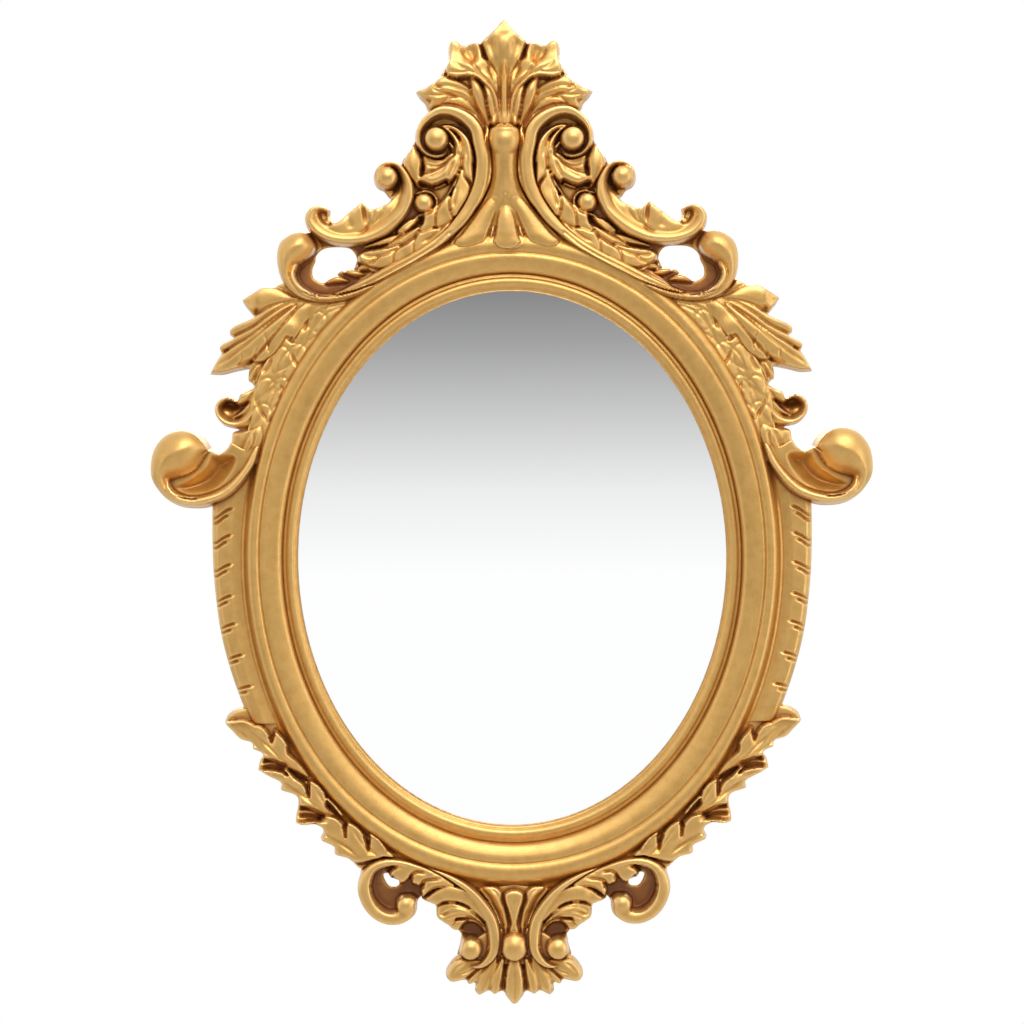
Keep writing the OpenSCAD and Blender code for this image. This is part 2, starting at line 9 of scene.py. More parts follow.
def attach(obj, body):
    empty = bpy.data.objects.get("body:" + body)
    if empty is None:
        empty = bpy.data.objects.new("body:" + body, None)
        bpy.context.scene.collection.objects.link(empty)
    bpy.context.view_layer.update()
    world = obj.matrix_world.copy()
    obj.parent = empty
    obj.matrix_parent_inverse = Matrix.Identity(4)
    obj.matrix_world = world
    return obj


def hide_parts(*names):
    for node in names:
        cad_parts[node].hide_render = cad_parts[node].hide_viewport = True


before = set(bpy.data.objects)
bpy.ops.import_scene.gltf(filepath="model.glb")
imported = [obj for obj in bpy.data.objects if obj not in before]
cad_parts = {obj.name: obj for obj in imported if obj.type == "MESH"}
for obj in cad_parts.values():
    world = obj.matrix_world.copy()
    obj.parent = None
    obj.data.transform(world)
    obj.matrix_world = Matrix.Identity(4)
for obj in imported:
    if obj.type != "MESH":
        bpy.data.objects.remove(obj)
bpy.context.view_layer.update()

# Lengths are in millimetres up to the meshes, x to the right, y up and z towards the viewer from the wall
MM = 0.001
STEP = 0.7

# The visible glass's half width and half height, the ring's width round it and its middle
SIGHT_W = 165.6
SIGHT_H = 206.4
RING_W = 48.4
RING_MIDDLE = 24
# The share by which the ring is narrower at the sides and wider at the top and bottom
WIDEN = 0.07
# The ring's crease, how far it moves in at the top and bottom and the width of the ring that moves with it
CREASE_AT = 31.6
CREASE_SHIFT = 4.5
CREASE_REACH = 17
# Heights in the ring's section: above the first its front begins, below the second it keeps the plain gold
RING_FRONT_Z = 13.0
RING_SIDE_Z = 13.4

# Heights of the ornaments' flat backs, on the plates or near the wall; backs that overlap differ by small
# steps, so that no two lie in one plane
BASE_Z = 8.2
BASE_STEP = 0.15
WALL_Z = 0.2
WALL_STEP = 0.2
# The outline's height above the back, and how near the outline the surface counts as the ornament's side
RIM_Z = 1.5
EDGE_W = 0.9
# How steeply an ornament's edge falls, the width of the blend into that fall, and how far steps are softened
FALL = 14.0
FALL_BLEND = 3.0
SOFTEN = 0.55
# A map's value outside every shape, and the share of a step below which a distance counts as none
OUTSIDE = -9.0
SLIVER = 0.02

# The crest's lean to the left, the height where it starts and the height over which it grows
CREST_LEAN = 4.3
LEAN_FROM = 145
LEAN_OVER = 165
# The plate behind the crest
PLATE_T = 8.0
PLATE_BACK = 0.15

# The map of what lies deep, for patina and painted shade: its lowest line, width and height, and the heights
# beside the ring
MAP_LOW = -350
MAP_W = 288
MAP_H = 780
GLASS_Z = 13.5
BESIDE_Z = 17
# Two reaches over which depth is measured, the depth that counts as full and the weight of each
WIDE = (2.6, 7, 0.45)
NEAR = (0.9, 1.3, 0.55)
# Ground lower than this gets patina and painted shade as well, fully so this much lower
LOW_GROUND = 15.5
LOW_OVER = 4.5
# How much the plain ring takes off the patina and painted shade values and low ground adds to them, and
# their value at sides
PLAIN_SHARE = 0.7
LOW_SHARE = 0.6
SIDE_PATINA_AND_SHADE = 0.1


# Curves and height maps


def smooth(points, steps=6, closed=False):
    """A curve through the points with steps samples to each stretch; a point given twice is a corner"""
    p = np.array(points, float)
    n = len(p)
    starts = np.arange(n if closed else n - 1)
    pick = (lambda k: p[k % n]) if closed else (lambda k: p[np.clip(k, 0, n - 1)])
    a, b, c, d = (pick(starts + k)[:, None, :] for k in (-1, 0, 1, 2))
    t = (np.arange(steps) / steps)[None, :, None]
    curve = 0.5 * (2 * b + (c - a) * t + (2 * a - 5 * b + 4 * c - d) * t**2 + (3 * b - a - 3 * c + d) * t**3)
    curve = curve[np.abs(c - b)[:, 0].sum(1) > 0].reshape(-1, p.shape[1])
    if not closed:
        curve = np.vstack([curve, p[-1:]])
    keep = np.ones(len(curve), bool)
    keep[1:] = np.linalg.norm(np.diff(curve[:, :2], axis=0), axis=1) > 1e-6
    curve = curve[keep]
    meets = closed and np.linalg.norm(curve[-1, :2] - curve[0, :2]) < 1e-6
    return curve[:-1] if meets else curve


def blur(field, sigma):
    """A Gaussian blur of a map by sigma samples"""
    reach = max(1, int(3 * sigma))
    weights = np.exp(-0.5 * (np.arange(-reach, reach + 1) / sigma) ** 2)
    weights /= weights.sum()
    out = np.pad(field, reach, mode="edge")
    out = sum(w * out[k:k + field.shape[0], :] for k, w in enumerate(weights))
    return sum(w * out[:, k:k + field.shape[1]] for k, w in enumerate(weights))


def carried(line):
    """Points in which what one leaves out at its end is as in the point before it"""
    full = []
    for point in line:
        full.append((*point, *full[-1][len(point):]) if full else point)
    return full


def stretches(c, xs, ys):
    """For each stretch of a line: its ends, how far along places lie (0 to 1) and their offset from it"""
    for a, b in zip(c[:-1], c[1:]):
        d = b - a
        t = np.clip(((xs - a[0]) * d[0] + (ys - a[1]) * d[1]) / (d[:2] @ d[:2]), 0, 1)
        yield a, b, t, xs - a[0] - t * d[0], ys - a[1] - t * d[1]


def distance(xs, ys, c):
    """Distance to a closed line, positive inside it"""
    best = np.full(xs.shape, 1e9)
    crossed = np.zeros(xs.shape, bool)
    for a, b, _, ox, oy in stretches(np.vstack([c, c[:1]]), xs, ys):
        best = np.minimum(best, np.hypot(ox, oy))
        if b[1] != a[1]:
            at = a[0] + (ys - a[1]) * (b[0] - a[0]) / (b[1] - a[1])
            crossed ^= ((a[1] > ys) != (b[1] > ys)) & (xs < at)
    return np.where(crossed, best, -best)


def level(xs, ys, heights):
    """A surface through one height, or through heights given at a few places"""
    if np.isscalar(heights):
        return np.full(xs.shape, float(heights))
    total = np.zeros(xs.shape)
    weight = np.zeros(xs.shape)
    for x, y, z in heights:
        w = 1 / ((xs - x) ** 2 + (ys - y) ** 2 + 4.0) ** 1.5
        total += w * z
        weight += w
    return total / weight


def profile(place, section):
    """The rise that a section of (place, rise) has at each place"""
    return np.interp(place, *np.array(section, float).T)


class Relief:
    """A height map of one ornament over a box of the right-hand half"""

    def __init__(self, x0, x1, y0, y1, base):
        self.base = base
        self.i0 = max(0, int(math.floor(x0 / STEP)))
        self.j0 = int(math.floor(y0 / STEP))
        self.x = (np.arange(int(math.ceil(x1 / STEP)) - self.i0 + 1) + self.i0) * STEP
        self.y = (np.arange(int(math.ceil(y1 / STEP)) - self.j0 + 1) + self.j0) * STEP
        self.height = np.full((len(self.y), len(self.x)), float(base))
        self.inside = np.full(self.height.shape, OUTSIDE)

    def window(self, points, margin):
        """The part of the map round some points, as slices, and the coordinates there"""
        lo = points[:, :2].min(0) - margin
        hi = points[:, :2].max(0) + margin
        i = np.searchsorted(self.x, (lo[0], hi[0]))
        j = np.searchsorted(self.y, (lo[1], hi[1]))
        part = np.s_[j[0]:j[1], i[0]:i[1]]
        xs, ys = np.meshgrid(self.x[part[1]], self.y[part[0]])
        return part, xs, ys

    def shape(self, outline, margin):
        """The part of the map round an outline, the coordinates there and their distance inside it"""
        c = smooth(outline, closed=True)
        part, xs, ys = self.window(c, margin)
        return part, xs, ys, distance(xs, ys, c)

    def put(self, part, inside, height, moat=0.0):
        """Lays a shape on the map: the higher surface wins, and a moat is a groove just outside the shape"""
        old = self.height[part]
        if moat:
            ditch = moat * np.exp(-((np.minimum(inside, 0) + 0.5) / 1.1) ** 2)
            old = np.where(inside <= 0, np.maximum(old - ditch, self.base + 1), old)
        self.height[part] = np.where(inside > 0, np.maximum(old, height), old)
        self.inside[part] = np.maximum(self.inside[part], inside)

    def sweep(self, line, section, moat=0.0):
        """A band along a line of (x, y, half width, height), with a section of (side from -1 to 1, rise)"""
        c = smooth(carried(line))
        part, xs, ys = self.window(c, c[:, 2].max() + 2.5)
        best = np.full(xs.shape, OUTSIDE)
        side = np.zeros(xs.shape)
        top = np.zeros(xs.shape)
        for a, b, t, ox, oy in stretches(c, xs, ys):
            d = b - a
            off = np.hypot(ox, oy)
            width = a[2] + t * d[2]
            better = width - off > best
            best = np.where(better, width - off, best)
            turn = np.sign(d[0] * oy - d[1] * ox)
            side = np.where(better, turn * off / np.maximum(width, 0.1), side)
            top = np.where(better, a[3] + t * d[3], top)
        self.put(part, best, top + profile(side, section), moat)

    def pillow(self, outline, heights, bulge, edge, moat=0.0, over=False, soft=0.0):
        """A leaf or pad with a round edge: heights at its outline, and a bulge above them that is full
        from edge inwards on; over clears what lies below it, and soft blurs the bulge"""
        part, xs, ys, inside = self.shape(outline, 3.0)
        rise = bulge * np.sqrt(1 - (1 - np.clip(inside / edge, 0, 1)) ** 2)
        if soft:
            full = (inside > 0).astype(float)
            rise = blur(rise, soft / STEP) / np.maximum(blur(full, soft / STEP), 0.35)
        if over:
            self.height[part] = np.where(inside > 0, self.base, self.height[part])
        self.put(part, inside, level(xs, ys, heights) + rise, moat)

    def sink(self, outline, heights, edge=2.0):
        """A hollow whose floor has the given heights, with sloping sides edge wide"""
        part, xs, ys, inside = self.shape(outline, 1.0)
        t = np.clip(inside / edge, 0, 1)
        old = self.height[part]
        new = old + (level(xs, ys, heights) - old) * t * t * (3 - 2 * t)
        self.height[part] = np.where(inside > 0, np.minimum(old, new), old)

    def cut(self, outline):
        """A hole right through"""
        part, _, _, inside = self.shape(outline, 6.0)
        self.inside[part] = np.minimum(self.inside[part], -inside)

    def ball(self, x, y, radius, top, moat=0.0, stretch=1.0):
        """A ball or an upright egg whose top is at the given height, a little flatter than a sphere"""
        part, xs, ys = self.window(np.array([[x, y]]), radius * max(1, stretch) + 2)
        off = np.hypot(xs - x, (ys - y) / stretch)
        big = 1.12 * radius
        self.put(part, radius - off, top - big + np.sqrt(np.maximum(big**2 - off**2, 0)), moat)

    def column(self, line, section):
        """An upright body on the middle line, from (y, half width, height) down its length and a section"""
        c = smooth(line)[::-1]
        part, xs, ys = self.window(np.array([[0, c[0, 0]], [c[:, 1].max(), c[-1, 0]]]), 2)
        width = np.interp(ys, c[:, 0], c[:, 1])
        slope = np.gradient(c[:, 1], c[:, 0])
        lean = np.hypot(1, np.interp(ys, c[:, 0], slope))
        height = np.interp(ys, c[:, 0], c[:, 2]) + profile(xs / width, section)
        self.put(part, np.minimum((width - xs) / lean, np.minimum(ys - c[0, 0], c[-1, 0] - ys)), height)

    def groove(self, line, width, depth):
        """A groove along a line that fades at both ends"""
        c = smooth(line)
        part, xs, ys = self.window(c, width * 2.5)
        run = np.concatenate([[0], np.cumsum(np.linalg.norm(np.diff(c, axis=0), axis=1))])
        best = np.full(xs.shape, 1e9)
        along = np.zeros(xs.shape)
        for k, (_, _, t, ox, oy) in enumerate(stretches(c, xs, ys)):
            off = np.hypot(ox, oy)
            along = np.where(off < best, (run[k] + t * (run[k + 1] - run[k])) / run[-1], along)
            best = np.minimum(best, off)
        fade = np.clip(np.sin(np.pi * np.clip(along, 0.03, 0.97)) * 2, 0, 1)
        old = self.height[part]
        new = np.maximum(old - depth * fade * np.exp(-((best / width) ** 2)), self.base + 1)
        self.height[part] = np.where(self.inside[part] > 0, new, old)

    def blade(self, root, tip, width, low, high, bend, section, moat):
        """A pointed leaf along a bent line from root to tip"""
        (x0, y0), (x1, y1) = root, tip
        mx = (x0 + x1) / 2 - (y1 - y0) * bend
        my = (y0 + y1) / 2 + (x1 - x0) * bend
        t = np.linspace(0, 1, 9)
        x = (1 - t) ** 2 * x0 + 2 * t * (1 - t) * mx + t**2 * x1
        y = (1 - t) ** 2 * y0 + 2 * t * (1 - t) * my + t**2 * y1
        w = width * np.sin(np.pi * (0.12 + 0.88 * t) ** 0.9) ** 0.8
        self.sweep(np.stack([x, y, np.maximum(w, 0.2), low + (high - low) * t], 1), section, moat)


def finished(r):
    """The relief's height with its steps softened and its outer edge falling steeply to the back"""
    covered = r.inside > 0
    weight = blur(covered.astype(float), SOFTEN / STEP)
    height = blur(np.where(covered, r.height, 0), SOFTEN / STEP) / np.maximum(weight, 1e-3)
    height = np.where(covered, height, r.base)
    fall = r.base + RIM_Z + FALL * np.maximum(r.inside, 0)
    gap = np.clip(0.5 + 0.5 * (height - fall) / FALL_BLEND, 0, 1)
    return np.minimum(height * (1 - gap) + fall * gap - FALL_BLEND * gap * (1 - gap), height)


# Meshes from height maps


def contour_mesh(height, inside, x, y, rim_z):
    """Vertices and faces of a height map where inside is positive, the lines round it
    and which vertices lie near them"""
    f = np.where(np.abs(inside) < SLIVER * STEP, -SLIVER * STEP, inside)
    f[0, :] = f[-1, :] = f[:, 0] = f[:, -1] = -STEP
    ny, nx = f.shape
    solid = f > 0
    node = np.full(f.shape, -1)
    node[solid] = np.arange(solid.sum())
    rows, cols = np.nonzero(solid)
    points = [np.stack([x[cols], y[rows], height[rows, cols]], 1)]
    count = len(points[0])

    def crossings(dj, di):
        """Where the outline crosses the grid lines of one direction"""
        a = f[:ny - dj, :nx - di]
        b = f[dj:, di:]
        hit = (a > 0) != (b > 0)
        jj, ii = np.nonzero(hit)
        t = a[jj, ii] / (a[jj, ii] - b[jj, ii])
        spots = np.stack([x[ii] + t * di * STEP, y[jj] + t * dj * STEP, np.full(len(t), rim_z)], 1)
        index = np.full(a.shape, -1)
        index[jj, ii] = np.arange(len(jj))
        return index, spots

    across, spots = crossings(0, 1)
    across = np.where(across >= 0, across + count, -1)
    points.append(spots)
    count += len(spots)
    upright, spots = crossings(1, 0)
    upright = np.where(upright >= 0, upright + count, -1)
    points.append(spots)

    corner = [solid[:-1, :-1], solid[:-1, 1:], solid[1:, 1:], solid[1:, :-1]]
    corner_id = [node[:-1, :-1], node[:-1, 1:], node[1:, 1:], node[1:, :-1]]
    edge_id = [across[:-1, :], upright[:, 1:], across[1:, :], upright[:, :-1]]
    case = sum(c.astype(int) << k for k, c in enumerate(corner))
    faces = []
    rim = []
    for number in range(1, 16):
        at = np.nonzero(case == number)
        for ring, lines in cell_faces([(number >> k) & 1 for k in range(4)]):
            ids = [(corner_id if kind == "c" else edge_id)[k][at] for kind, k in ring]
            faces.append(np.stack(ids, 1))
            for (_, a), (_, b) in lines:
                rim.append(np.stack([edge_id[a][at], edge_id[b][at]], 1))
    points = np.vstack(points)
    edge = np.zeros(len(points), bool)
    edge[:len(rows)] = f[rows, cols] < EDGE_W
    return points, faces, np.vstack(rim), edge


def cell_faces(bits):
    """The polygons inside one grid cell, as corners and edge crossings, with the lines between crossings"""
    if bits in ([1, 0, 1, 0], [0, 1, 0, 1]):
        return [([("e", (k + 3) % 4), ("c", k), ("e", k)], [(("e", k), ("e", (k + 3) % 4))])
                for k in range(4) if bits[k]]
    walk = []
    for k in range(4):
        if bits[k]:
            walk.append(("c", k))
        if bits[k] != bits[(k + 1) % 4]:
            walk.append(("e", k))
    pairs = zip(walk, walk[1:] + walk[:1])
    return [(walk, [(a, b) for a, b in pairs if a[0] == b[0] == "e"])]


def to_world(points):
    """Millimetres from the wall to the frame's metres"""
    return np.stack([points[:, 0], -points[:, 2], points[:, 1]], 1) * MM


# Sections of bands and leaves, as (side from -1 to 1, rise), and of the column from its middle out
LEAF = [(-1, -2.6), (-0.8, -1.2), (-0.45, -0.1), (-0.15, -0.3), (0, -1.1), (0.15, -0.3), (0.45, -0.1),
        (0.8, -1.2), (1, -2.6)]
SCALE = [(-1, -1.6), (-0.8, -0.8), (-0.4, -0.1), (0, 0), (0.4, -0.1), (0.8, -0.8), (1, -1.6)]
PLAIN = [(-1, -3.2), (-0.85, -1.7), (-0.6, -0.7), (-0.3, -0.15), (0, 0), (0.3, -0.15), (0.6, -0.7),
         (0.85, -1.7), (1, -3.2)]
THREAD = [(-1, -1.4), (-0.5, -0.3), (0, 0), (0.5, -0.3), (1, -1.4)]
COLUMN = [(0, 0), (0.3, -0.6), (0.6, -2.2), (0.85, -4.6), (1, -7.5)]
BAND = [(-1, -4.5), (-0.9, -2.4), (-0.7, -0.9), (-0.4, -0.15), (-0.1, 0), (0.3, -0.4), (0.65, -1.4),
        (0.9, -2.8), (1, -4.5)]
ROLL = [(-1, -6), (-0.9, -3.4), (-0.65, -1.2), (-0.3, -0.1), (0, -0.1), (0.35, -1.2), (0.7, -3), (1, -5)]


def both(half):
    """A right-hand outline with its mirror image"""
    return list(half) + [(-x, y) for x, y in reversed(half)]


# The crest


def crest_leaf():
    """The acanthus leaf at the top: three layers of lobes and a ribbed middle lobe"""
    r = Relief(0, 75, 318, 418, BASE_Z)
    r.pillow(both([(0, 416.5), (0, 416.5), (4, 412), (8, 406.5), (13.5, 402.5), (18.5, 397.5), (18.5, 397.5),
                   (25, 397), (31, 395.5), (34.5, 398.5), (39, 399), (42.5, 397), (43, 390.5), (42.5, 385),
                   (46, 378.5), (50.5, 371.5), (55, 366), (61.5, 363), (68.5, 360.5), (68.5, 360.5),
                   (65, 355), (61.5, 351.5), (59, 346), (54.5, 343.5), (48, 344), (40.5, 343.5), (33, 340),
                   (26, 335), (20.5, 329), (12.5, 325.5), (0, 325)]),
             [(0, 407.5, 25), (38, 392, 22), (65, 359, 21), (19, 345.5, 22)], 2, 4)
    r.pillow([(68.5, 360.5), (68.5, 360.5), (61.5, 363), (53, 368.5), (45, 371.5), (37.5, 369), (28, 363.5),
              (20.5, 356), (14.5, 345.5), (11, 335), (14.5, 328.5), (20.5, 332), (30.5, 341), (42, 346.5),
              (51.5, 346), (57.5, 347.5), (56.5, 353), (56.5, 353), (63, 355)],
             [(68.5, 360, 25), (46, 365, 28), (42, 349.5, 25), (16, 338, 22)], 3, 5, 1)
    r.sweep([(12.5, 332, 1.5, 22), (19, 346.5, 2.3, 26), (28, 355, 2.7, 29), (39.5, 359.5, 2.7, 31),
             (52, 362, 1.2, 30)], LEAF, 1.5)
    r.sweep([(13.5, 330.5, 1.5, 21), (22, 342.5, 2.3, 25), (31, 350.5, 3.1, 28), (39.5, 352.5, 2.7, 29),
             (46.5, 350.5, 0.4, 28)], LEAF, 1.5)
    r.sweep([(15, 329.5, 1.5, 21), (23.5, 339, 2.3, 24), (34.5, 344.5, 2.7, 26), (45, 346.5, 2.3, 27),
             (53.5, 345, 0.8, 26)], LEAF, 1.5)
    r.groove([(62, 357.5), (50, 356.5), (38, 358), (28, 356)], 1, 1.5)
    r.groove([(51.5, 369), (52.5, 364.5), (48, 362)], 1, 2.5)
    r.pillow([(42.5, 398.5), (42.5, 398.5), (38, 399), (34.5, 397.5), (31, 395), (25, 397.5), (18.5, 397.5),
              (18.5, 397.5), (16.5, 392), (16, 386), (11, 382.5), (6, 379.5), (3.5, 369), (3.5, 335),
              (11, 335), (6.5, 345.5), (9, 356.5), (13.5, 362.5), (18, 367.5), (23, 371), (29.5, 371),
              (36.5, 369.5), (43, 372), (44.5, 378.5), (43, 386)],
             [(38, 393.5, 29), (41.5, 376.5, 33), (26.5, 375, 34), (25, 390.5, 26), (14.5, 369, 32),
              (7.5, 353.5, 29), (9.5, 376.5, 28)], 2.5, 4, 2.5, over=True)
    r.sink([(32, 393.5), (26.5, 396.5), (21, 396), (19, 389), (20.5, 381), (25, 379.5), (29.5, 386)], 26, 5)
    r.groove([(33.5, 394.5), (29.5, 386), (23.5, 379), (17.5, 372)], 1.3, 2.5)
    r.groove([(39.5, 383), (33, 377.5), (25, 375)], 1.5, 1)
    r.groove([(12.5, 381), (9, 372), (6, 361)], 1.6, 2)
    r.sweep([(24.5, 369.5, 2.3, 30), (21, 361, 4.2, 32), (18, 351, 4.2, 31), (15, 342.5, 3.1, 29),
             (12, 333.5, 1.5, 26)], PLAIN, 1.2)
    r.sweep([(14.5, 364, 1.5, 33), (11, 356.5, 3.1, 34), (9.5, 347, 3.1, 33), (8, 336.5, 2.3, 29)], PLAIN,
            1.5)
    r.sweep([(43, 372.5, 0.9, 34), (34.5, 371.5, 1, 35), (26.5, 372, 1.2, 36), (20.5, 370.5, 1.3, 37),
             (15, 366), (10.5, 362, 1.3, 36), (7, 355, 1.3, 35), (5, 345.5, 1.3, 33), (4.5, 335, 1.2, 30)],
            THREAD, 1.5)
    r.pillow(both([(0, 416.5), (0, 416.5), (5, 411), (10.5, 405), (18.5, 397.5), (18.5, 397.5), (15, 390.5),
                   (12.5, 384.5), (8, 378), (4, 369), (3.5, 353.5), (4, 332)]),
             [(0, 411, 30), (0, 396, 35), (12.5, 395, 31), (0, 369, 31), (0, 338, 30)], 2, 5, 2, over=True)
    r.groove([(18, 397.5), (16, 391), (14.5, 384.5)], 1.3, 5)
    r.groove([(12, 399.5), (8, 387.5), (3.5, 375)], 3, 1)
    r.sweep([(0, 399.5, 0.5, 36), (0, 384, 1.2, 35.5), (0, 361, 1.5, 34.5), (0, 335, 1.7, 32)], THREAD)
    r.groove([(3, 381), (3, 361), (3, 336.5)], 0.9, 2.5)
    r.groove([(0, 375), (0, 356.5), (0, 337)], 0.6, 1.5)
    return r


# The post down its length, as (y, half width, height)
POST = [(331, 11.6, 42), (324, 11.5, 42), (318, 10.9, 40.3), (311, 10.3, 38), (303, 10.1, 35.5),
        (295, 10.6, 34.3), (286, 12.6, 33.4), (277, 16.5, 32.7), (268, 22, 31), (258, 28.5, 29),
        (249, 35, 27), (241, 39.5, 25)]


def crest_post():
    """The knobbed post between the volutes, which spreads into two flares and a middle drop"""
    r = Relief(0, 46, 228, 342, BASE_Z + 2 * BASE_STEP)
    r.pillow([(0, 335), (9.5, 332.5), (12.5, 328.5), (13.5, 321), (12, 311), (11, 301), (12, 290),
              (16.5, 278.5), (23.5, 268), (32, 258), (40.5, 248.5), (45.5, 241.5), (43, 238.5), (29, 239.5),
              (18.5, 243), (15, 247), (0, 246), (-4, 300)], 27, 1, 3)
    r.column(POST, COLUMN)
    r.pillow([(18.5, 270), (26, 260), (34, 250), (40, 244), (38, 239.5), (34, 238), (27, 239), (20, 241.5),
              (15.5, 246), (13, 253), (9, 262.5), (5.5, 272.5), (6.5, 278), (12, 277)],
             [(10.5, 274.5, 29), (20.5, 259.5, 28.8), (33.5, 242.5, 29), (15, 248.5, 29), (8, 267, 29)], 3,
             11, 0.3, soft=1.5)
    r.pillow(both([(-1, 279.5), (3, 272.5), (6, 262.5), (7.5, 254.5), (9, 248.5), (11, 244), (9.5, 240),
                   (6, 237.5), (0, 236.5)]), [(-1, 277.5, 29.8), (-1, 257, 31.3), (0, 241.5, 31)], 2.5, 8,
             0.4, soft=1)
    r.pillow([(9, 254.5), (12, 253), (14, 248.5), (13.5, 243), (11.5, 241.5), (9.5, 245.5)], 27, 2, 3, 0.8)
    r.groove([(12, 254.5), (14, 248.5), (16.5, 243)], 0.9, 3)
    r.groove([(7.5, 256), (9.5, 250), (11.5, 243)], 0.8, 3)
    r.groove([(7, 268.5), (9, 262.5), (12.5, 255.5)], 1, 1)
    r.ball(0, 322, 11.9, 42.8, stretch=1.08)
    return r


def crest_volute():
    """The big volute: a ball in a rolled band that sweeps down and out to a big curled end"""
    r = Relief(8, 184, 188, 348, BASE_Z + BASE_STEP)
    r.pillow([(171.5, 224.5), (162, 238.5), (151, 244.5), (143, 247.5), (120, 246), (106.5, 241.5),
              (95, 233.5), (77.5, 233.5), (87.5, 219.5), (121.5, 206), (146, 201.5), (164.5, 207.5)], 10.5,
             1, 4)
    r.sweep([(96, 229, 0.8, 18), (103.5, 226, 2.7, 21), (111.5, 225), (117, 222, 0.8, 18)], PLAIN, 1)
    r.sweep([(110, 219.5, 0.8, 18), (118, 220.5, 2.7, 20), (125.5, 222, 1.5, 19)], PLAIN, 1)
    r.sweep([(124, 214.5, 0.8, 17), (132.5, 216, 2.7, 19), (140.5, 213.5, 1.2, 17)], PLAIN, 1)
    r.sweep([(14.5, 336.5, 0.8, 27), (13, 327, 3.1, 30.5), (13.5, 315, 3.9, 31.5), (12.5, 303.5),
             (13.5, 291.5), (17, 281.5, 3.1, 31), (22, 273, 3.1, 30.5), (30.5, 263, 3.1, 30),
             (38.5, 254, 3.1, 29.5), (47.5, 245.5, 3.1, 29), (58.5, 237, 2.3, 28)], SCALE)
    r.sweep([(43, 316, 0.6, 30), (46.5, 311, 1.7, 32), (53.5, 309.5, 2, 34), (60.5, 312, 2.3, 35),
             (65, 318, 2.8, 36), (66, 326, 3.1, 37), (63.5, 333.5, 3.7), (57.5, 340, 4.2), (50, 344, 4.6),
             (41.5, 344, 4.9), (33.5, 341, 5.4), (26.5, 336, 5.9), (21.5, 329, 6), (19.5, 319.5),
             (17.5, 309.5), (17.5, 299.5, 6, 36.5), (19, 289.5, 6, 36), (22.5, 279.5, 6, 35.5),
             (28, 269.5, 5.9, 35), (35, 260, 5.7), (43.5, 251.5, 4.9, 34.5), (53.5, 243.5, 4.8, 34),
             (65, 236, 4.6), (77.5, 229, 4.6, 33.5), (90, 222.5, 4.6, 33), (102.5, 216, 4.3, 32),
             (115, 210.5, 3.4, 30.5), (126, 206.5, 2, 28), (135, 205, 0.6, 24)], BAND)
    r.sweep([(12.5, 333.5, 0.6, 31), (13, 322.5, 1.1, 32.5), (11, 313.5, 1.2), (10, 303.5), (11, 293),
             (14.5, 283), (19.5, 273, 1.2, 32), (26, 263), (34, 254, 1.2, 31.5), (43, 245.5, 1.2, 31),
             (52.5, 238, 1.1, 30), (62, 231, 0.6, 29)], THREAD)
    r.ball(52.5, 322.5, 10.3, 43, 0.8)
    r.pillow([(163, 225.5), (163, 225.5), (158.5, 229), (153, 232.5), (149, 237), (148, 242), (151.5, 248.5),
              (156.5, 252.5), (163, 252.5), (169, 250), (175, 245), (178, 238), (178.5, 229.5), (177, 220),
              (173.5, 211.5), (168.5, 205), (161, 200), (150, 197), (138.5, 196.5), (127, 198),
              (115.5, 201.5), (106, 206.5), (99.5, 212), (107.5, 211), (119, 206.5), (130.5, 203.5),
              (142, 202.5), (150.5, 203.5), (158.5, 207.5), (163.5, 214), (165.5, 220)],
             [(162.5, 242.5, 23), (173.5, 223, 24), (161.5, 203, 24), (130.5, 199.5, 23),
              (107.5, 207.5, 24)], 17, 15, 1, soft=1.6)
    r.sweep([(162.5, 226, 0.6, 33), (166, 219.5, 1.9, 35.5), (163.5, 212, 2, 36), (157.5, 206),
             (150.5, 202.5), (141.5, 201), (129.5, 202.5, 1.9, 35.5), (118, 205.5, 1.8, 35),
             (105.5, 211, 1.5), (93, 217.5, 1.4), (80.5, 224), (68, 230.5, 1.3), (55.5, 238.5, 1.2),
             (44, 248.5, 0.8)], THREAD, 1)
    r.pillow([(157, 251), (151.5, 252.5), (144.5, 247), (143.5, 237), (152, 238.5), (157, 244.5)], 13, 1, 3)
    r.cut([(143.5, 239), (136.5, 241), (123.5, 240.5), (118, 236), (116.5, 229.5), (119, 225), (123, 225),
           (126, 222), (129.5, 222.5), (133.5, 219), (137, 218.5), (141, 214.5), (145, 213.5), (151, 217.5),
           (151.5, 224), (149, 230), (148, 234.5)])
    return r


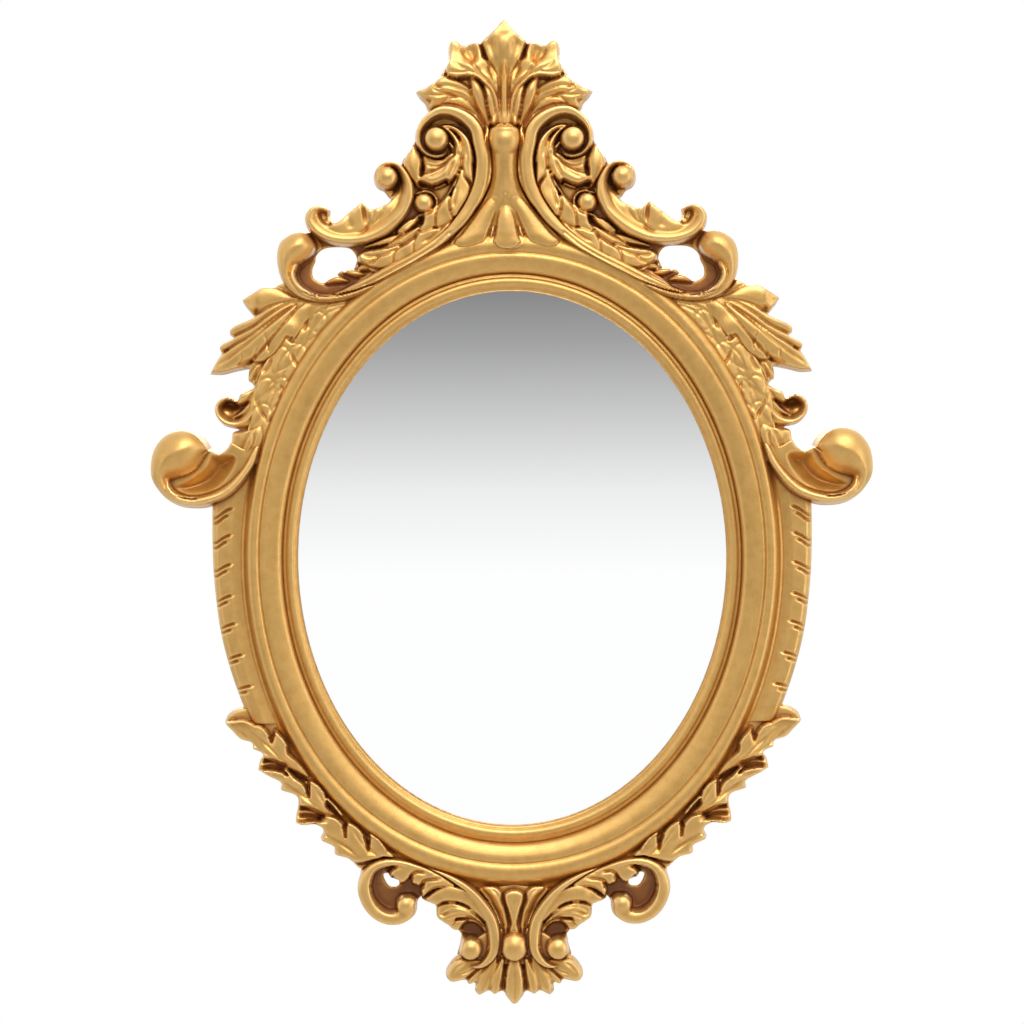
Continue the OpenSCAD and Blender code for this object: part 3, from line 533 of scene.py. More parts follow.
def crest_scroll():
    """The C-scroll with a ball at its inner end, a small curl at its outer end and a leaf in its hollow"""
    r = Relief(70, 166, 226, 312, BASE_Z + 3 * BASE_STEP)
    r.pillow([(71.5, 292), (81, 287.5), (87, 279), (87, 279), (91.5, 274.5), (98, 271.5), (104, 270),
              (104, 270), (107, 273), (111, 276), (111, 276), (115.5, 272), (122, 267), (128.5, 261.5),
              (133, 260), (136, 264.5), (136, 270), (142, 272.5), (149, 271.5), (154.5, 267), (155.5, 261),
              (153, 254), (146, 247.5), (135.5, 242.5), (122, 241), (108, 243), (93.5, 248), (82.5, 256.5),
              (73.5, 268), (69, 280.5)], [(111, 274.5, 29), (124.5, 260, 29), (93.5, 265, 27),
                                          (77.5, 280.5, 25), (105.5, 253.5, 28), (145.5, 260, 27)], 3, 5)
    r.sweep([(77.5, 292, 1.5, 26), (76.5, 280.5, 2.3), (82, 269), (91.5, 259.5), (104, 253.5, 1.5, 27)],
            PLAIN)
    r.pillow([(101, 292), (99, 300.5), (91.5, 305.5), (82, 303.5), (74.5, 292), (72, 279), (80, 275),
              (86, 276.5), (90, 279), (93.5, 283.5), (98, 286)], 18, 1, 3)
    r.sweep([(93.5, 285, 0.6, 29), (98, 288, 1.5, 32), (99.5, 294.5, 2, 34), (97, 300.5, 2.3, 35),
             (90.5, 304, 2.5), (83.5, 303, 2.9), (78, 297.5, 3.5), (74.5, 289.5, 4.2), (74.5, 280.5, 4.8),
             (78, 270.5, 5.2, 34.5), (85, 262, 5.6), (95, 254.5, 5.7, 34), (107.5, 248.5),
             (121.5, 246.5, 5.6), (134.5, 248, 5.4), (144.5, 253), (150, 261, 4.9), (149, 267.5, 4),
             (143.5, 270, 2.9, 33.5), (139, 268, 1.9, 33)], ROLL)
    r.sink([(143, 269), (138, 268.5), (136, 264.5), (133, 260.5), (135.5, 256), (141, 257.5), (144.5, 262.5),
            (145, 267)], [(140, 264.5, 22), (136.5, 259, 24)], 2)
    r.sink([(111, 273.5), (108, 271.5), (106.5, 266.5), (106, 260.5), (108.5, 256), (110.5, 260.5),
            (111.5, 267.5)], 27.5, 2.5)
    r.groove([(106, 267.5), (105.5, 260), (109, 253), (115, 249)], 1, 1.8)
    r.groove([(102, 270.5), (101.5, 263.5), (105, 256.5), (110.5, 251.5)], 1.2, 1.6)
    r.groove([(94, 273), (95, 266), (99.5, 259.5), (105.5, 254.5)], 1.5, 1.4)
    r.groove([(120.5, 267.5), (121, 261.5), (119, 253.5)], 2.5, 0.8)
    r.groove([(90, 300.5), (83.5, 298.5), (81, 292), (82.5, 286), (86.5, 281.5)], 2, 8)
    r.ball(90.5, 293.5, 8.2, 40, 0.6)
    return r


# The rows of scales beside the volute, each an outline and heights at places in it
VOLUTE_FEATHERS = [([(67, 256.5), (79, 250.5), (94.5, 241), (110.5, 237.5), (116, 232), (110, 224.5),
                     (99.5, 219.5), (87, 224), (68, 233.5), (52, 244), (40, 255), (31, 268.5), (24, 284),
                     (33, 292), (44.5, 272.5), (54.5, 262.5)],
                    [(110.5, 229, 22), (83, 239.5, 25), (51.5, 255, 26), (32, 280, 27)]),
                   ([(115, 233), (110.5, 236.5), (102, 238), (91, 239.5), (82.5, 241), (83.5, 233.5),
                     (86, 226.5), (93, 223.5), (104, 224.5), (110.5, 227.5)],
                    [(113, 232, 26), (85, 233.5, 28)]),
                   ([(85, 237.5), (77, 242.5), (70, 246.5), (70, 239), (70.5, 232.5), (79, 228.5),
                     (86, 225.5), (87, 232)], [(85, 232, 28.5), (71, 240.5, 29.5)]),
                   ([(68, 250.5), (61.5, 254), (53, 255), (43.5, 260), (39, 262.5), (46.5, 252.5), (56, 243),
                     (64, 237), (70.5, 232.5), (71, 242)], [(70, 238, 29.5), (42, 259.5, 31)]),
                   ([(63.5, 260.5), (63, 265.5), (57, 267.5), (51, 272), (53, 265.5), (53.5, 260.5),
                     (53, 255.5), (59.5, 254.5), (66.5, 252.5)], [(64.5, 256.5, 29), (51, 268.5, 30)]),
                   ([(50, 272), (43, 280), (41.5, 273.5), (42, 268), (39.5, 263.5), (44.5, 258.5), (53, 255),
                     (53.5, 261), (52.5, 267.5)], [(51.5, 258, 30.5), (43, 276.5, 31.5)]),
                   ([(33.5, 299.5), (31, 293.5), (27, 286.5), (28.5, 278.5), (33, 271), (39, 262.5),
                     (41.5, 266.5), (42.5, 272.5), (41, 281), (37, 290.5)],
                    [(34.5, 295.5, 31.5), (39, 265.5, 32.5)])]


# Veins in the rows of scales
FEATHER_LINES = [[(113.5, 234.5), (105, 233), (94, 234.5), (84, 239.5)],
                 [(99, 233.5), (103.5, 229), (108.5, 226.5)], [(64.5, 243.5), (56.5, 248.5), (47, 256.5)],
                 [(37, 287), (38, 279.5), (40, 270)]]


def crest_feathers():
    """What fills the volute: strands, a shell leaf under the ball, a pod, a bead and rows of scales"""
    r = Relief(10, 122, 208, 346, BASE_Z + 4 * BASE_STEP)
    r.pillow([(12, 322), (22, 296), (24, 282), (33, 264), (46, 249), (60, 238), (80, 226), (104, 214),
              (118, 220), (116, 232), (108, 244), (92, 250), (80, 262), (73, 276), (75, 290), (80, 304),
              (72, 318), (60, 334), (40, 336), (24, 332)], 13, 1, 4)
    r.sweep([(50, 333, 0.8, 30), (41.5, 332, 1.7, 31), (34.5, 327.5, 2.3, 32), (30, 320.5, 3.5, 33),
             (28.5, 311, 4.6, 33.5), (29, 301, 5.1), (27.5, 293.5, 3.5, 34), (24.5, 287, 0.5)], LEAF, 2)
    r.sweep([(48, 332, 0.8, 29), (41.5, 328, 1.5, 30), (36.5, 321, 2.3, 31), (35, 313.5, 3.1, 32),
             (36, 305.5), (35, 298, 0.8)], LEAF, 1.5)
    r.groove([(44.5, 332), (36, 327.5), (31, 318), (29, 307)], 0.6, 1.4)
    r.groove([(40.5, 329.5), (35, 322.5), (33, 313.5), (33, 302.5)], 0.7, 1.6)
    r.sweep([(43, 321, 1.2, 23), (39, 315, 1.9, 24), (39, 307.5, 1.5, 26)], PLAIN, 1)
    r.pillow([(63, 310.5), (50, 307.5), (40.5, 312.5), (37.5, 307.5), (43.5, 301), (53, 296.5), (62, 295),
              (62, 301)], 25, 1, 4)
    r.pillow([(67, 292), (62, 296), (54.5, 298), (46.5, 302.5), (41.5, 308), (36.5, 310.5), (33.5, 305),
              (34.5, 298.5), (38, 294), (42.5, 289), (45, 291.5), (50, 289), (56.5, 287.5), (62.5, 289.5)],
             [(65.5, 292, 29), (50, 293.5, 30), (37.5, 304, 30), (42.5, 290.5, 31)], 2.5, 6, 1.5, over=True,
             soft=0.8)
    r.groove([(39, 305.5), (42, 299), (45, 292)], 0.8, 2.2)
    r.groove([(45, 301), (51.5, 296), (59, 292.5)], 0.8, 1.2)
    for d in (0, 2.7, 5.4):
        r.groove([(60, 309 - d), (51.5, 307.5 - d), (43.5, 311.5 - d)], 0.7, 1.6)
    r.sweep([(70, 315, 2.3, 30), (70.5, 306.5, 6.6, 31), (70.5, 299.5, 5.8), (68.5, 293.5, 3.5, 30),
             (67, 289, 0.5, 29)], PLAIN, 2)
    r.sweep([(77.5, 306, 0.6, 28), (73.5, 298, 0.8), (70, 291), (65.5, 286.5, 0.8, 27), (56.5, 285, 0.8, 26),
             (45.5, 289, 0.6)], THREAD, 1)
    r.pillow([(67, 284.5), (62.5, 287.5), (53.5, 285.5), (44, 289), (37.5, 292), (37, 284), (41.5, 276.5),
              (48, 272), (52.5, 275), (55, 281), (61, 283.5)], 15, 1, 4, 1, over=True)
    for outline, places in VOLUTE_FEATHERS:
        r.pillow(outline, places, 1, 3, 2.2, over=True)
    for line in FEATHER_LINES:
        r.groove(line, 0.9, 2.2)
    r.sweep([(35, 299.5, 0.6, 30), (37.5, 292, 0.8), (42, 283.5, 0.8, 29.5), (47, 276.5), (53, 270.5),
             (62, 266, 0.8, 28.5), (70, 263, 0.6, 27)], THREAD, 0.6)
    r.sweep([(69, 281, 0.6, 27), (62.5, 283, 0.8, 28), (56.5, 281.5, 0.9), (53, 276.5), (54, 271),
             (60.5, 267), (68, 264, 0.8, 27)], THREAD, 1)
    r.ball(63, 274, 7.3, 34, 1)
    r.sweep([(67, 262, 0.8, 22), (73, 259, 3.1, 24), (79.5, 254, 3.1, 25), (83.5, 252, 1.2)], LEAF, 1)
    r.sweep([(79.5, 251, 0.8, 21), (89, 246.5, 2.7, 23), (98.5, 243.5, 2.3, 24), (109.5, 240.5, 0.8, 23)],
            LEAF, 1)
    return r


# The shoulders and sides


def shoulder_leaf():
    """The acanthus leaf on the shoulder, with a hooked cup below it"""
    r = Relief(150, 238, 72, 226, WALL_Z)
    r.pillow([(173.5, 215.5), (173.5, 215.5), (179, 213), (183.5, 211), (190.5, 211), (194.5, 209.5),
              (200, 204.5), (208.5, 200.5), (208.5, 200.5), (205.5, 195.5), (201, 190), (199, 187.5),
              (199, 187.5), (206, 184.5), (213, 181.5), (217.5, 178), (218, 174.5), (215.5, 171), (222, 168),
              (226, 164), (224.5, 159.5), (224.5, 159.5), (228.5, 153), (233.5, 143.5), (233.5, 143.5),
              (224, 143), (213.5, 145.5), (203, 147.5), (203, 147.5), (204, 142), (203.5, 138.5),
              (200.5, 135.5), (197, 129), (192.5, 124.5), (186.5, 138.5), (175, 160), (159, 180),
              (138.5, 193.5), (123, 199.5), (138.5, 201.5), (157.5, 203), (167.5, 209)],
             [(208, 198.5, 20), (216.5, 174.5, 20), (228.5, 148, 20), (173, 200, 23), (162, 184.5, 23.5),
              (194, 138.5, 18)], 2.5, 6)
    r.pillow([(134.5, 196), (148, 193.5), (155, 186.5), (160, 176.5), (167, 166.5), (167, 166.5),
              (172.5, 172), (177.5, 164.5), (184.5, 156), (192.5, 152), (200, 154), (201.5, 161.5),
              (195, 173), (183.5, 187), (171, 196), (161.5, 199)],
             [(162, 192, 25), (176, 177, 27), (192, 160, 24), (150.5, 190.5, 24)], 2.5, 9, 0.6, soft=1)
    r.pillow([(208.5, 200.5), (208.5, 200.5), (202.5, 204.5), (194.5, 209), (186, 210), (177, 207.5),
              (167.5, 202), (161, 199), (171.5, 197), (183.5, 194), (191, 191.5), (198, 190), (203.5, 194)],
             [(206.5, 200, 22), (191, 201.5, 26), (169.5, 200, 26)], 2.5, 7, 1, soft=0.8)
    r.sweep([(162.5, 198.5, 0.8, 26), (174, 195.5, 1.9, 27), (185, 191, 3.1, 27.5), (195, 184.5, 4.2, 27),
             (205.5, 179.5, 4.6, 26), (214, 176, 3.5, 24), (216.5, 174.5, 1.5, 23)], SCALE, 2.2)
    r.sweep([(162.5, 197.5, 0.8, 27), (174, 193, 1.9, 28), (185, 185.5, 2.8, 29), (195.5, 177, 3.2, 28.5),
             (205.5, 171, 3.9, 27), (216, 166.5, 3.9, 25), (223.5, 163.5, 2.3, 24)], SCALE, 2.2)
    r.sweep([(165, 195.5, 0.8, 28), (176.5, 185.5, 3.1, 29.5), (188, 174.5, 5, 30), (198, 165.5, 6.6, 29),
             (209, 157.5, 8.1, 28), (219.5, 151.5, 6.9, 26), (227, 147, 3.9, 25), (232.5, 144, 0.6, 24)],
            SCALE, 2.5)
    r.groove([(165, 196), (176.5, 188.5), (189, 178.5), (202.5, 167), (215.5, 157), (228, 148)], 1.1, 2.2)
    r.groove([(189.5, 174), (187.5, 167), (186.5, 158.5)], 0.8, 1.8)
    r.groove([(195, 164.5), (197, 158.5), (197.5, 151.5)], 0.9, 1.6)
    r.groove([(207.5, 160), (207, 155.5), (209.5, 149)], 1, 1.6)
    r.groove([(202.5, 191.5), (199, 189.5), (194, 193)], 1.8, 6)
    r.groove([(212.5, 149), (208, 150), (203, 152.5), (198.5, 152)], 1.2, 3)
    r.sweep([(191.5, 150.5, 0.8, 19), (197, 146, 2.3, 21.5), (202, 139, 1.9, 21)], LEAF, 1.2)
    r.sweep([(187.5, 153.5, 0.8, 20), (192.5, 146, 2, 22.5), (196.5, 137.5, 1.2, 22)], LEAF, 1.2)
    r.sweep([(183.5, 156, 0.8, 22), (188.5, 149, 1.9, 23.5), (192.5, 140, 1.2, 23)], LEAF, 1)
    r.pillow([(212.5, 123), (218, 125.5), (223.5, 125.5), (227.5, 121.5), (230, 116), (228.5, 110),
              (223, 104), (216, 101.5), (202, 100), (192.5, 104.5), (188, 123), (192.5, 135), (198.5, 133.5),
              (205, 130.5), (210.5, 127)], [(222, 115.5, 21), (198, 119, 21)], 3, 5, 0.8)
    r.pillow([(211.5, 124.5), (209.5, 128.5), (205, 130), (200.5, 129.5), (202, 124.5), (206.5, 122),
              (210.5, 122)], 22, 3.5, 4, 1)
    r.sink([(224.5, 120), (219.5, 123.5), (214, 123), (209.5, 120.5), (202.5, 123), (200.5, 119),
            (205, 111.5), (211, 107), (218, 107.5), (223.5, 111), (225.5, 116)],
           [(216, 120.5, 7), (220.5, 112, 16), (209.5, 112, 14), (203.5, 120, 12)], 2.5)
    r.sweep([(212.5, 122.5, 0.6, 23), (219, 125, 1.5, 25), (225, 122.5, 1.8, 26), (228, 117, 1.9, 26.5),
             (226.5, 110.5, 2), (220.5, 105.5), (213, 104, 1.9, 26), (205, 107, 1.7),
             (199.5, 113.5, 1.5, 25.5), (195.5, 123, 1.2, 25), (192.5, 132, 0.8)], THREAD)
    r.sweep([(216, 109, 0.6, 18), (208, 113, 1.7, 21), (202.5, 119, 1.7, 22), (199.5, 126, 0.8)], LEAF, 1)
    r.pillow([(215, 99), (202, 101.5), (192.5, 104.5), (189.5, 95), (193, 84.5), (196.5, 77.5),
              (196.5, 77.5), (201, 80), (205, 75.5), (205, 75.5), (210, 79), (215.5, 77), (215.5, 77),
              (217.5, 84.5), (217, 93)], [(214.5, 92, 19.5), (199, 95, 24)], 4, 8, 1, soft=1)
    r.groove([(216.5, 100.5), (209.5, 100), (201, 102)], 1.3, 5)
    r.groove([(200.5, 99), (206.5, 90), (210, 80)], 1.2, 2.2)
    r.groove([(197.5, 98), (199, 89), (201.5, 80.5)], 1.2, 2.2)
    return r


# Scales beside the shoulder leaf, as root, tip and half width
SCALES = [((118.5, 199.5), (150, 176), 6.9), ((132.5, 195), (167, 167.5), 7.7),
          ((131, 189), (156, 161.5), 5.4), ((148, 184.5), (163, 147.5), 7.7),
          ((160.5, 176.5), (183, 144.5), 6.9), ((145.5, 169), (171, 135), 5.4),
          ((163, 160), (178, 123), 6.9), ((176.5, 158.5), (194, 126), 6.9),
          ((165.5, 136.5), (182.5, 103), 5.4), ((176.5, 135), (188, 106.5), 6.6),
          ((188, 135), (199.5, 104.5), 6.2), ((178, 115), (191.5, 84.5), 5.4),
          ((190.5, 115), (201.5, 86), 6.2)]


# Short cuts that part the scales' tips
SCALE_TIPS = [[(172.5, 173.5), (170, 169), (166.5, 167)], [(169.5, 160.5), (167, 153.5), (162.5, 147.5)],
              [(197, 124.5), (193.5, 116), (188, 106.5)], [(177, 136), (176.5, 129), (178, 122)],
              [(184.5, 155.5), (187, 149), (191.5, 143.5)], [(201, 101.5), (198, 92), (200, 84.5)],
              [(155, 186), (157.5, 181.5), (160, 176)]]


def shoulder_feathers():
    """Low scales that lie along the moulding and point down"""
    r = Relief(106, 216, 66, 212, WALL_Z + WALL_STEP)
    r.pillow([(110.5, 206), (121.5, 205), (138.5, 205), (161.5, 203), (169.5, 197), (171.5, 186),
              (173, 175.5), (179.5, 166), (186, 155.5), (194, 144.5), (200.5, 129), (202, 113.5), (202, 100),
              (205, 87.5), (205, 75), (193, 72), (185, 82.5), (175, 109), (163, 133.5), (145.5, 163),
              (123.5, 187.5)], [(162.5, 169, 21), (131, 190.5, 22), (193, 100, 20)], 4.5, 10)
    for root, tip, width in SCALES:
        r.blade(root, tip, 1.3 * width, 24.6, 26.4, 0.06, SCALE, 0.7)
    for line in SCALE_TIPS:
        r.groove(line, 1.1, 2.4)
    r.sweep([(121.5, 199, 0.6, 24.5), (135.5, 196.5, 0.8, 26), (147, 194), (153.5, 188.5),
             (157, 180, 0.6, 25)], THREAD, 0.8)
    return r


def side_scroll():
    """The side scroll: a big knob whose rim runs back to the moulding round a deep hollow"""
    r = Relief(190, 283, 32, 108, WALL_Z + 2 * WALL_STEP)
    r.pillow([(196, 90.5), (205, 86.5), (216, 91.5), (220.5, 86), (226, 82.5), (234.5, 85.5), (244, 78.5),
              (259.5, 69), (268.5, 64.5), (268.5, 55.5), (261, 47.5), (244, 45), (228.5, 42.5), (213, 50.5),
              (200.5, 66), (191.5, 84.5)], [(256.5, 54, 22), (229, 77, 22), (202, 84.5, 25)], 0.5, 3)
    r.sink([(259.5, 57), (248.5, 64.5), (238.5, 72), (233, 82), (223.5, 83.5), (211.5, 80), (214, 69),
            (224, 56.5), (236, 50), (250, 49), (258, 52.5)], 13, 12)
    r.pillow([(232, 84), (232, 84), (236, 91.5), (243, 98.5), (252, 101.5), (261.5, 100), (270.5, 94.5),
              (277, 85), (279.5, 74), (279, 63), (274, 53.5), (266.5, 46), (256.5, 41), (245, 39.5),
              (234.5, 40.5), (224.5, 44.5), (214.5, 51.5), (205.5, 62), (198.5, 74.5), (194.5, 86.5),
              (197.5, 86.5), (203, 76), (209, 67.5), (217, 59.5), (226, 53.5), (237, 49.5), (247, 48.5),
              (255.5, 50.5), (261, 54.5), (263.5, 59), (263.5, 61.5), (263.5, 61.5), (258, 63.5),
              (251, 65.5), (244, 69.5), (239, 75.5), (235.5, 81.5)],
             [(257.5, 81, 22), (275.5, 61.5, 22), (248.5, 43.5, 24), (210, 56, 24), (196.5, 80.5, 24)], 23,
             25, soft=1.8)
    r.sweep([(264.5, 61, 0.8, 35), (264, 55.5, 1.9, 36), (260.5, 50.5, 2.5, 36.5), (254.5, 47, 2.6),
             (246.5, 45, 2.6, 36), (236, 46, 2.6, 35.5), (224, 50, 2.6, 34.5), (214, 56.5, 2.5, 33),
             (206, 65.5, 2.3, 32), (200, 74.5, 2.2, 31), (195.5, 86.5, 1.1, 30)], THREAD)
    return r


# Where each pair of cuts meets the side band's outer edge
NOTCHES = [(230, 33), (231, 13), (231, -9), (230.5, -32.5), (228, -53.5), (222.5, -77), (216, -100.5)]


# The side band's height near the moulding, its rise away from it and over what width,
# and its drop near the outer edge, which is as wide as it is deep
BAND_LOW = 17.2
BAND_RISE = 3.6
BAND_OVER = 12
BAND_DROP = 7


def side_band():
    """The outer band down the side, with pairs of slanting cuts in its edge"""
    r = Relief(180, 234, -128, 82, WALL_Z + 3 * WALL_STEP)
    edge = smooth([(203, 82), (214, 74), (224, 64), (230, 54), (232.2, 42), (232.6, 24), (232, -6),
                   (230, -30), (226.8, -54), (221.8, -76), (215, -98), (206, -122), (203, -131)])
    inner = [oval_point(a, RING_W - 9) for a in np.linspace(-0.98, 0.38, 20)]
    r.pillow([tuple(p) for p in edge] + inner, 16, 0.1, 3)
    part, xs, ys = r.window(np.array([[180, -128], [234, 82]]), 0)
    out = np.interp(ys, edge[::-1, 1], edge[::-1, 0]) - xs
    from_ring = distance_from_glass(xs, ys)[0] - RING_W
    rise = BAND_RISE * np.clip((from_ring + 5) / BAND_OVER, 0, 1)
    top = BAND_LOW + rise - BAND_DROP * np.clip(1 - out / BAND_DROP, 0, 1) ** 2
    r.height[part] = np.where(r.inside[part] > 0, top, r.height[part])
    for x, y in NOTCHES:
        for dy, wide in ((0, 15), (-4, 12)):
            tilt = (0.42 + 0.002 * y) * wide
            r.groove([(x + 2, y + dy - 1), (x - 3, y + dy), (x - 0.6 * wide, y + dy + 0.6 * tilt),
                      (x - wide, y + dy + tilt)], 0.7, 4.5)
    return r


# Raised rims along the upper edges of the lower leaves
LOWER_RIMS = [[(220, -126), (213, -125), (206.5, -125), (200, -128)],
              [(198.5, -128.5), (193, -130.5), (188.5, -136)],
              [(182.5, -133.5), (178, -138), (174.5, -143.5)],
              [(194.5, -163.5), (185.5, -163.5), (177, -165.5)],
              [(175.5, -162), (169.5, -168.5), (163, -173.5), (160, -179)],
              [(156, -171.5), (151, -174.5), (146, -180)], [(166, -204.5), (157.5, -203), (146, -203.5)],
              [(144, -198.5), (137, -200.5), (132, -205.5)], [(127, -203.5), (120.5, -207.5), (116, -213)],
              [(110.5, -212), (104, -216.5), (98.5, -224)], [(143, -185), (137.5, -190.5), (132, -197.5)]]


# Veins of the lower leaves
LOWER_VEINS = [[(204, -130), (190, -142.5), (171.5, -161)], [(213, -129.5), (199.5, -142.5), (184, -153.5)],
               [(181, -169), (165.5, -179.5), (145.5, -195)],
               [(151.5, -176.5), (145.5, -187.5), (133, -201.5)],
               [(157.5, -206), (139, -215.5), (118.5, -229.5)],
               [(123.5, -207.5), (115.5, -220), (103, -230)]]


def lower_leaf():
    """The garland of three acanthus leaves below the side band"""
    r = Relief(92, 228, -242, -108, WALL_Z + 4 * WALL_STEP)
    r.pillow([(207, -114), (214.5, -116), (221, -120.5), (223.5, -127), (223.5, -127), (218, -132.5),
              (211, -139.5), (202.5, -142.5), (201.5, -147), (194, -151), (196.5, -156.5), (198, -163.5),
              (198, -163.5), (188.5, -168), (180, -173.5), (180, -179), (168.5, -183.5), (167, -190.5),
              (168.5, -198), (169, -204.5), (169, -204.5), (162, -206.5), (153, -205), (147.5, -210.5),
              (149.5, -217.5), (139.5, -223), (138.5, -229), (128, -232.5), (121.5, -238.5), (117, -241.5),
              (117, -241.5), (95.5, -229.5), (72, -239), (80, -222), (103.5, -211), (134.5, -187.5),
              (159, -159), (178, -132), (191.5, -112.5)], 16, 2, 4)
    r.pillow([(222.5, -127), (222.5, -127), (215, -125), (207, -124.5), (201, -127.5), (194, -130),
              (188.5, -135.5), (186, -142), (186, -142), (183, -131.5), (183, -131.5), (178.5, -136.5),
              (174.5, -142), (173.5, -149.5), (173.5, -149.5), (168.5, -153.5), (161, -161), (157, -169),
              (165.5, -166.5), (174.5, -161), (184, -156.5), (193, -152.5), (194.5, -148.5), (201.5, -146.5),
              (202.5, -141.5), (211.5, -138.5), (217, -132.5)],
             [(219.5, -127, 24), (194.5, -133, 27), (176, -145.5, 27), (202.5, -141, 22), (165.5, -164, 22)],
             2.5, 4, 2)
    r.pillow([(197.5, -163.5), (197.5, -163.5), (187, -163), (178, -165), (170, -167.5), (163, -172.5),
              (160, -178), (157.5, -183.5), (157.5, -183.5), (157, -170.5), (157, -170.5), (151.5, -173.5),
              (146, -179), (144, -184.5), (144, -190.5), (144, -190.5), (137.5, -196), (130, -204.5),
              (137.5, -203), (148.5, -197.5), (159, -192), (166, -189), (167.5, -182.5), (179.5, -178),
              (179.5, -173.5), (190, -168)], [(193, -163.5, 24), (168.5, -171, 28), (148.5, -181.5, 27),
                                              (173, -179.5, 22), (137.5, -200, 22)], 2.5, 4, 2.5)
    r.pillow([(169, -204.5), (169, -204.5), (160, -203), (151.5, -203.5), (145.5, -198.5), (137.5, -199),
              (132, -204), (129.5, -214.5), (129.5, -214.5), (128.5, -202), (128.5, -202), (121.5, -206),
              (116, -212.5), (111.5, -226), (111.5, -226), (111, -211), (111, -211), (104, -215.5),
              (98, -223), (89, -231), (103, -231), (115.5, -234), (124.5, -234), (128.5, -231), (137, -229),
              (138.5, -223), (148, -217.5), (146.5, -210.5), (153, -206), (161.5, -206.5)],
             [(165.5, -204.5, 24), (140.5, -203, 27), (120.5, -212.5, 27), (102, -221, 25), (134, -226, 22)],
             2.5, 4, 2.5)
    r.groove([(194.5, -157), (187, -155), (178, -158), (173, -162)], 1.4, 5)
    r.groove([(194.5, -161), (185.5, -159.5), (176, -162)], 1, 4)
    r.groove([(174.5, -162), (165.5, -166), (157.5, -171)], 1.6, 5)
    r.groove([(167, -193), (157.5, -192), (148.5, -196.5), (144, -201.5)], 1.5, 5)
    r.groove([(167, -198), (156, -198), (145.5, -201.5)], 1.5, 5)
    for line in LOWER_RIMS:
        r.sweep([(x, y, 1.1, 30.5) for x, y in line], THREAD)
    for line in LOWER_VEINS:
        r.groove(line, 1.2, 1.6)
    return r


# The foot


def foot_scroll():
    """The small scroll of the foot: a ring with a rolled-in end and a deep hollow"""
    r = Relief(46, 124, -290, -224, BASE_Z)
    r.pillow([(117.5, -238.5), (106, -231), (87.5, -231), (72, -237), (56.5, -243.5), (47, -253),
              (50, -260.5), (64, -263.5), (72.5, -262), (78, -272.5), (87, -279), (99.5, -277),
              (113.5, -266.5), (118, -252.5)], 11, 0.5, 3)
    r.pillow([(98, -245), (95, -240), (90.5, -236.5), (81.5, -235.5), (69, -239), (56.5, -243.5),
              (44, -251.5), (34.5, -260.5), (48.5, -257.5), (58, -254.5), (65.5, -257.5), (70, -260.5),
              (71.5, -257.5), (71, -252.5), (69, -250.5), (75, -252.5), (78, -251), (79.5, -246.5),
              (79, -243.5), (83.5, -249), (89, -250.5), (92, -248), (93, -245)],
             [(91.5, -242, 25), (72, -245, 25.5), (56.5, -248, 27), (41, -256, 27)], 2, 5, 1, soft=0.8)
    r.sweep([(34.5, -262, 0.8, 26), (45, -253, 2.3, 27), (58, -245, 3.1, 28), (72, -239, 3.2), (84.5, -235),
             (97, -234, 3.5, 28.5), (107.5, -237.5, 4, 29), (113.5, -244.5, 4.9, 30), (115.5, -255, 5.6, 31),
             (112.5, -265, 5.7), (105.5, -273, 5.9), (96.5, -277), (88, -276.5, 5.9, 31.5),
             (82, -272, 6.2, 32), (81, -265.5, 6.2, 33)], PLAIN)
    r.ball(83.5, -266.5, 7.4, 35)
    r.sweep([(104.5, -230.5, 0.6, 27), (94, -229.5, 0.8, 28), (80, -232), (64.5, -237.5), (49, -244.5),
             (35, -251.5, 0.6)], THREAD)
    r.groove([(76.5, -249), (79, -244), (74.5, -241), (67.5, -242)], 0.9, 3.5)
    r.groove([(68.5, -256), (71, -251), (67.5, -247.5), (56.5, -246.5)], 0.9, 3.5)
    r.groove([(68.5, -259), (61, -253.5), (51, -253)], 0.9, 2.5)
    r.groove([(96, -245), (95, -240), (89, -237)], 1, 3)
    r.sink([(100.5, -249.5), (92, -252.5), (85.5, -251), (79.5, -249.5), (72.5, -252), (71.5, -259),
            (77, -261), (82.5, -258.5), (88.5, -261), (91, -267), (92.5, -272.5), (99.5, -272),
            (106.5, -265.5), (109.5, -257), (107.5, -249.5)], 11, 2.5)
    r.cut([(101, -245), (97.5, -243.5), (95, -247), (89.5, -248.5), (89, -252.5), (92.5, -254),
           (97.5, -252.5)])
    return r


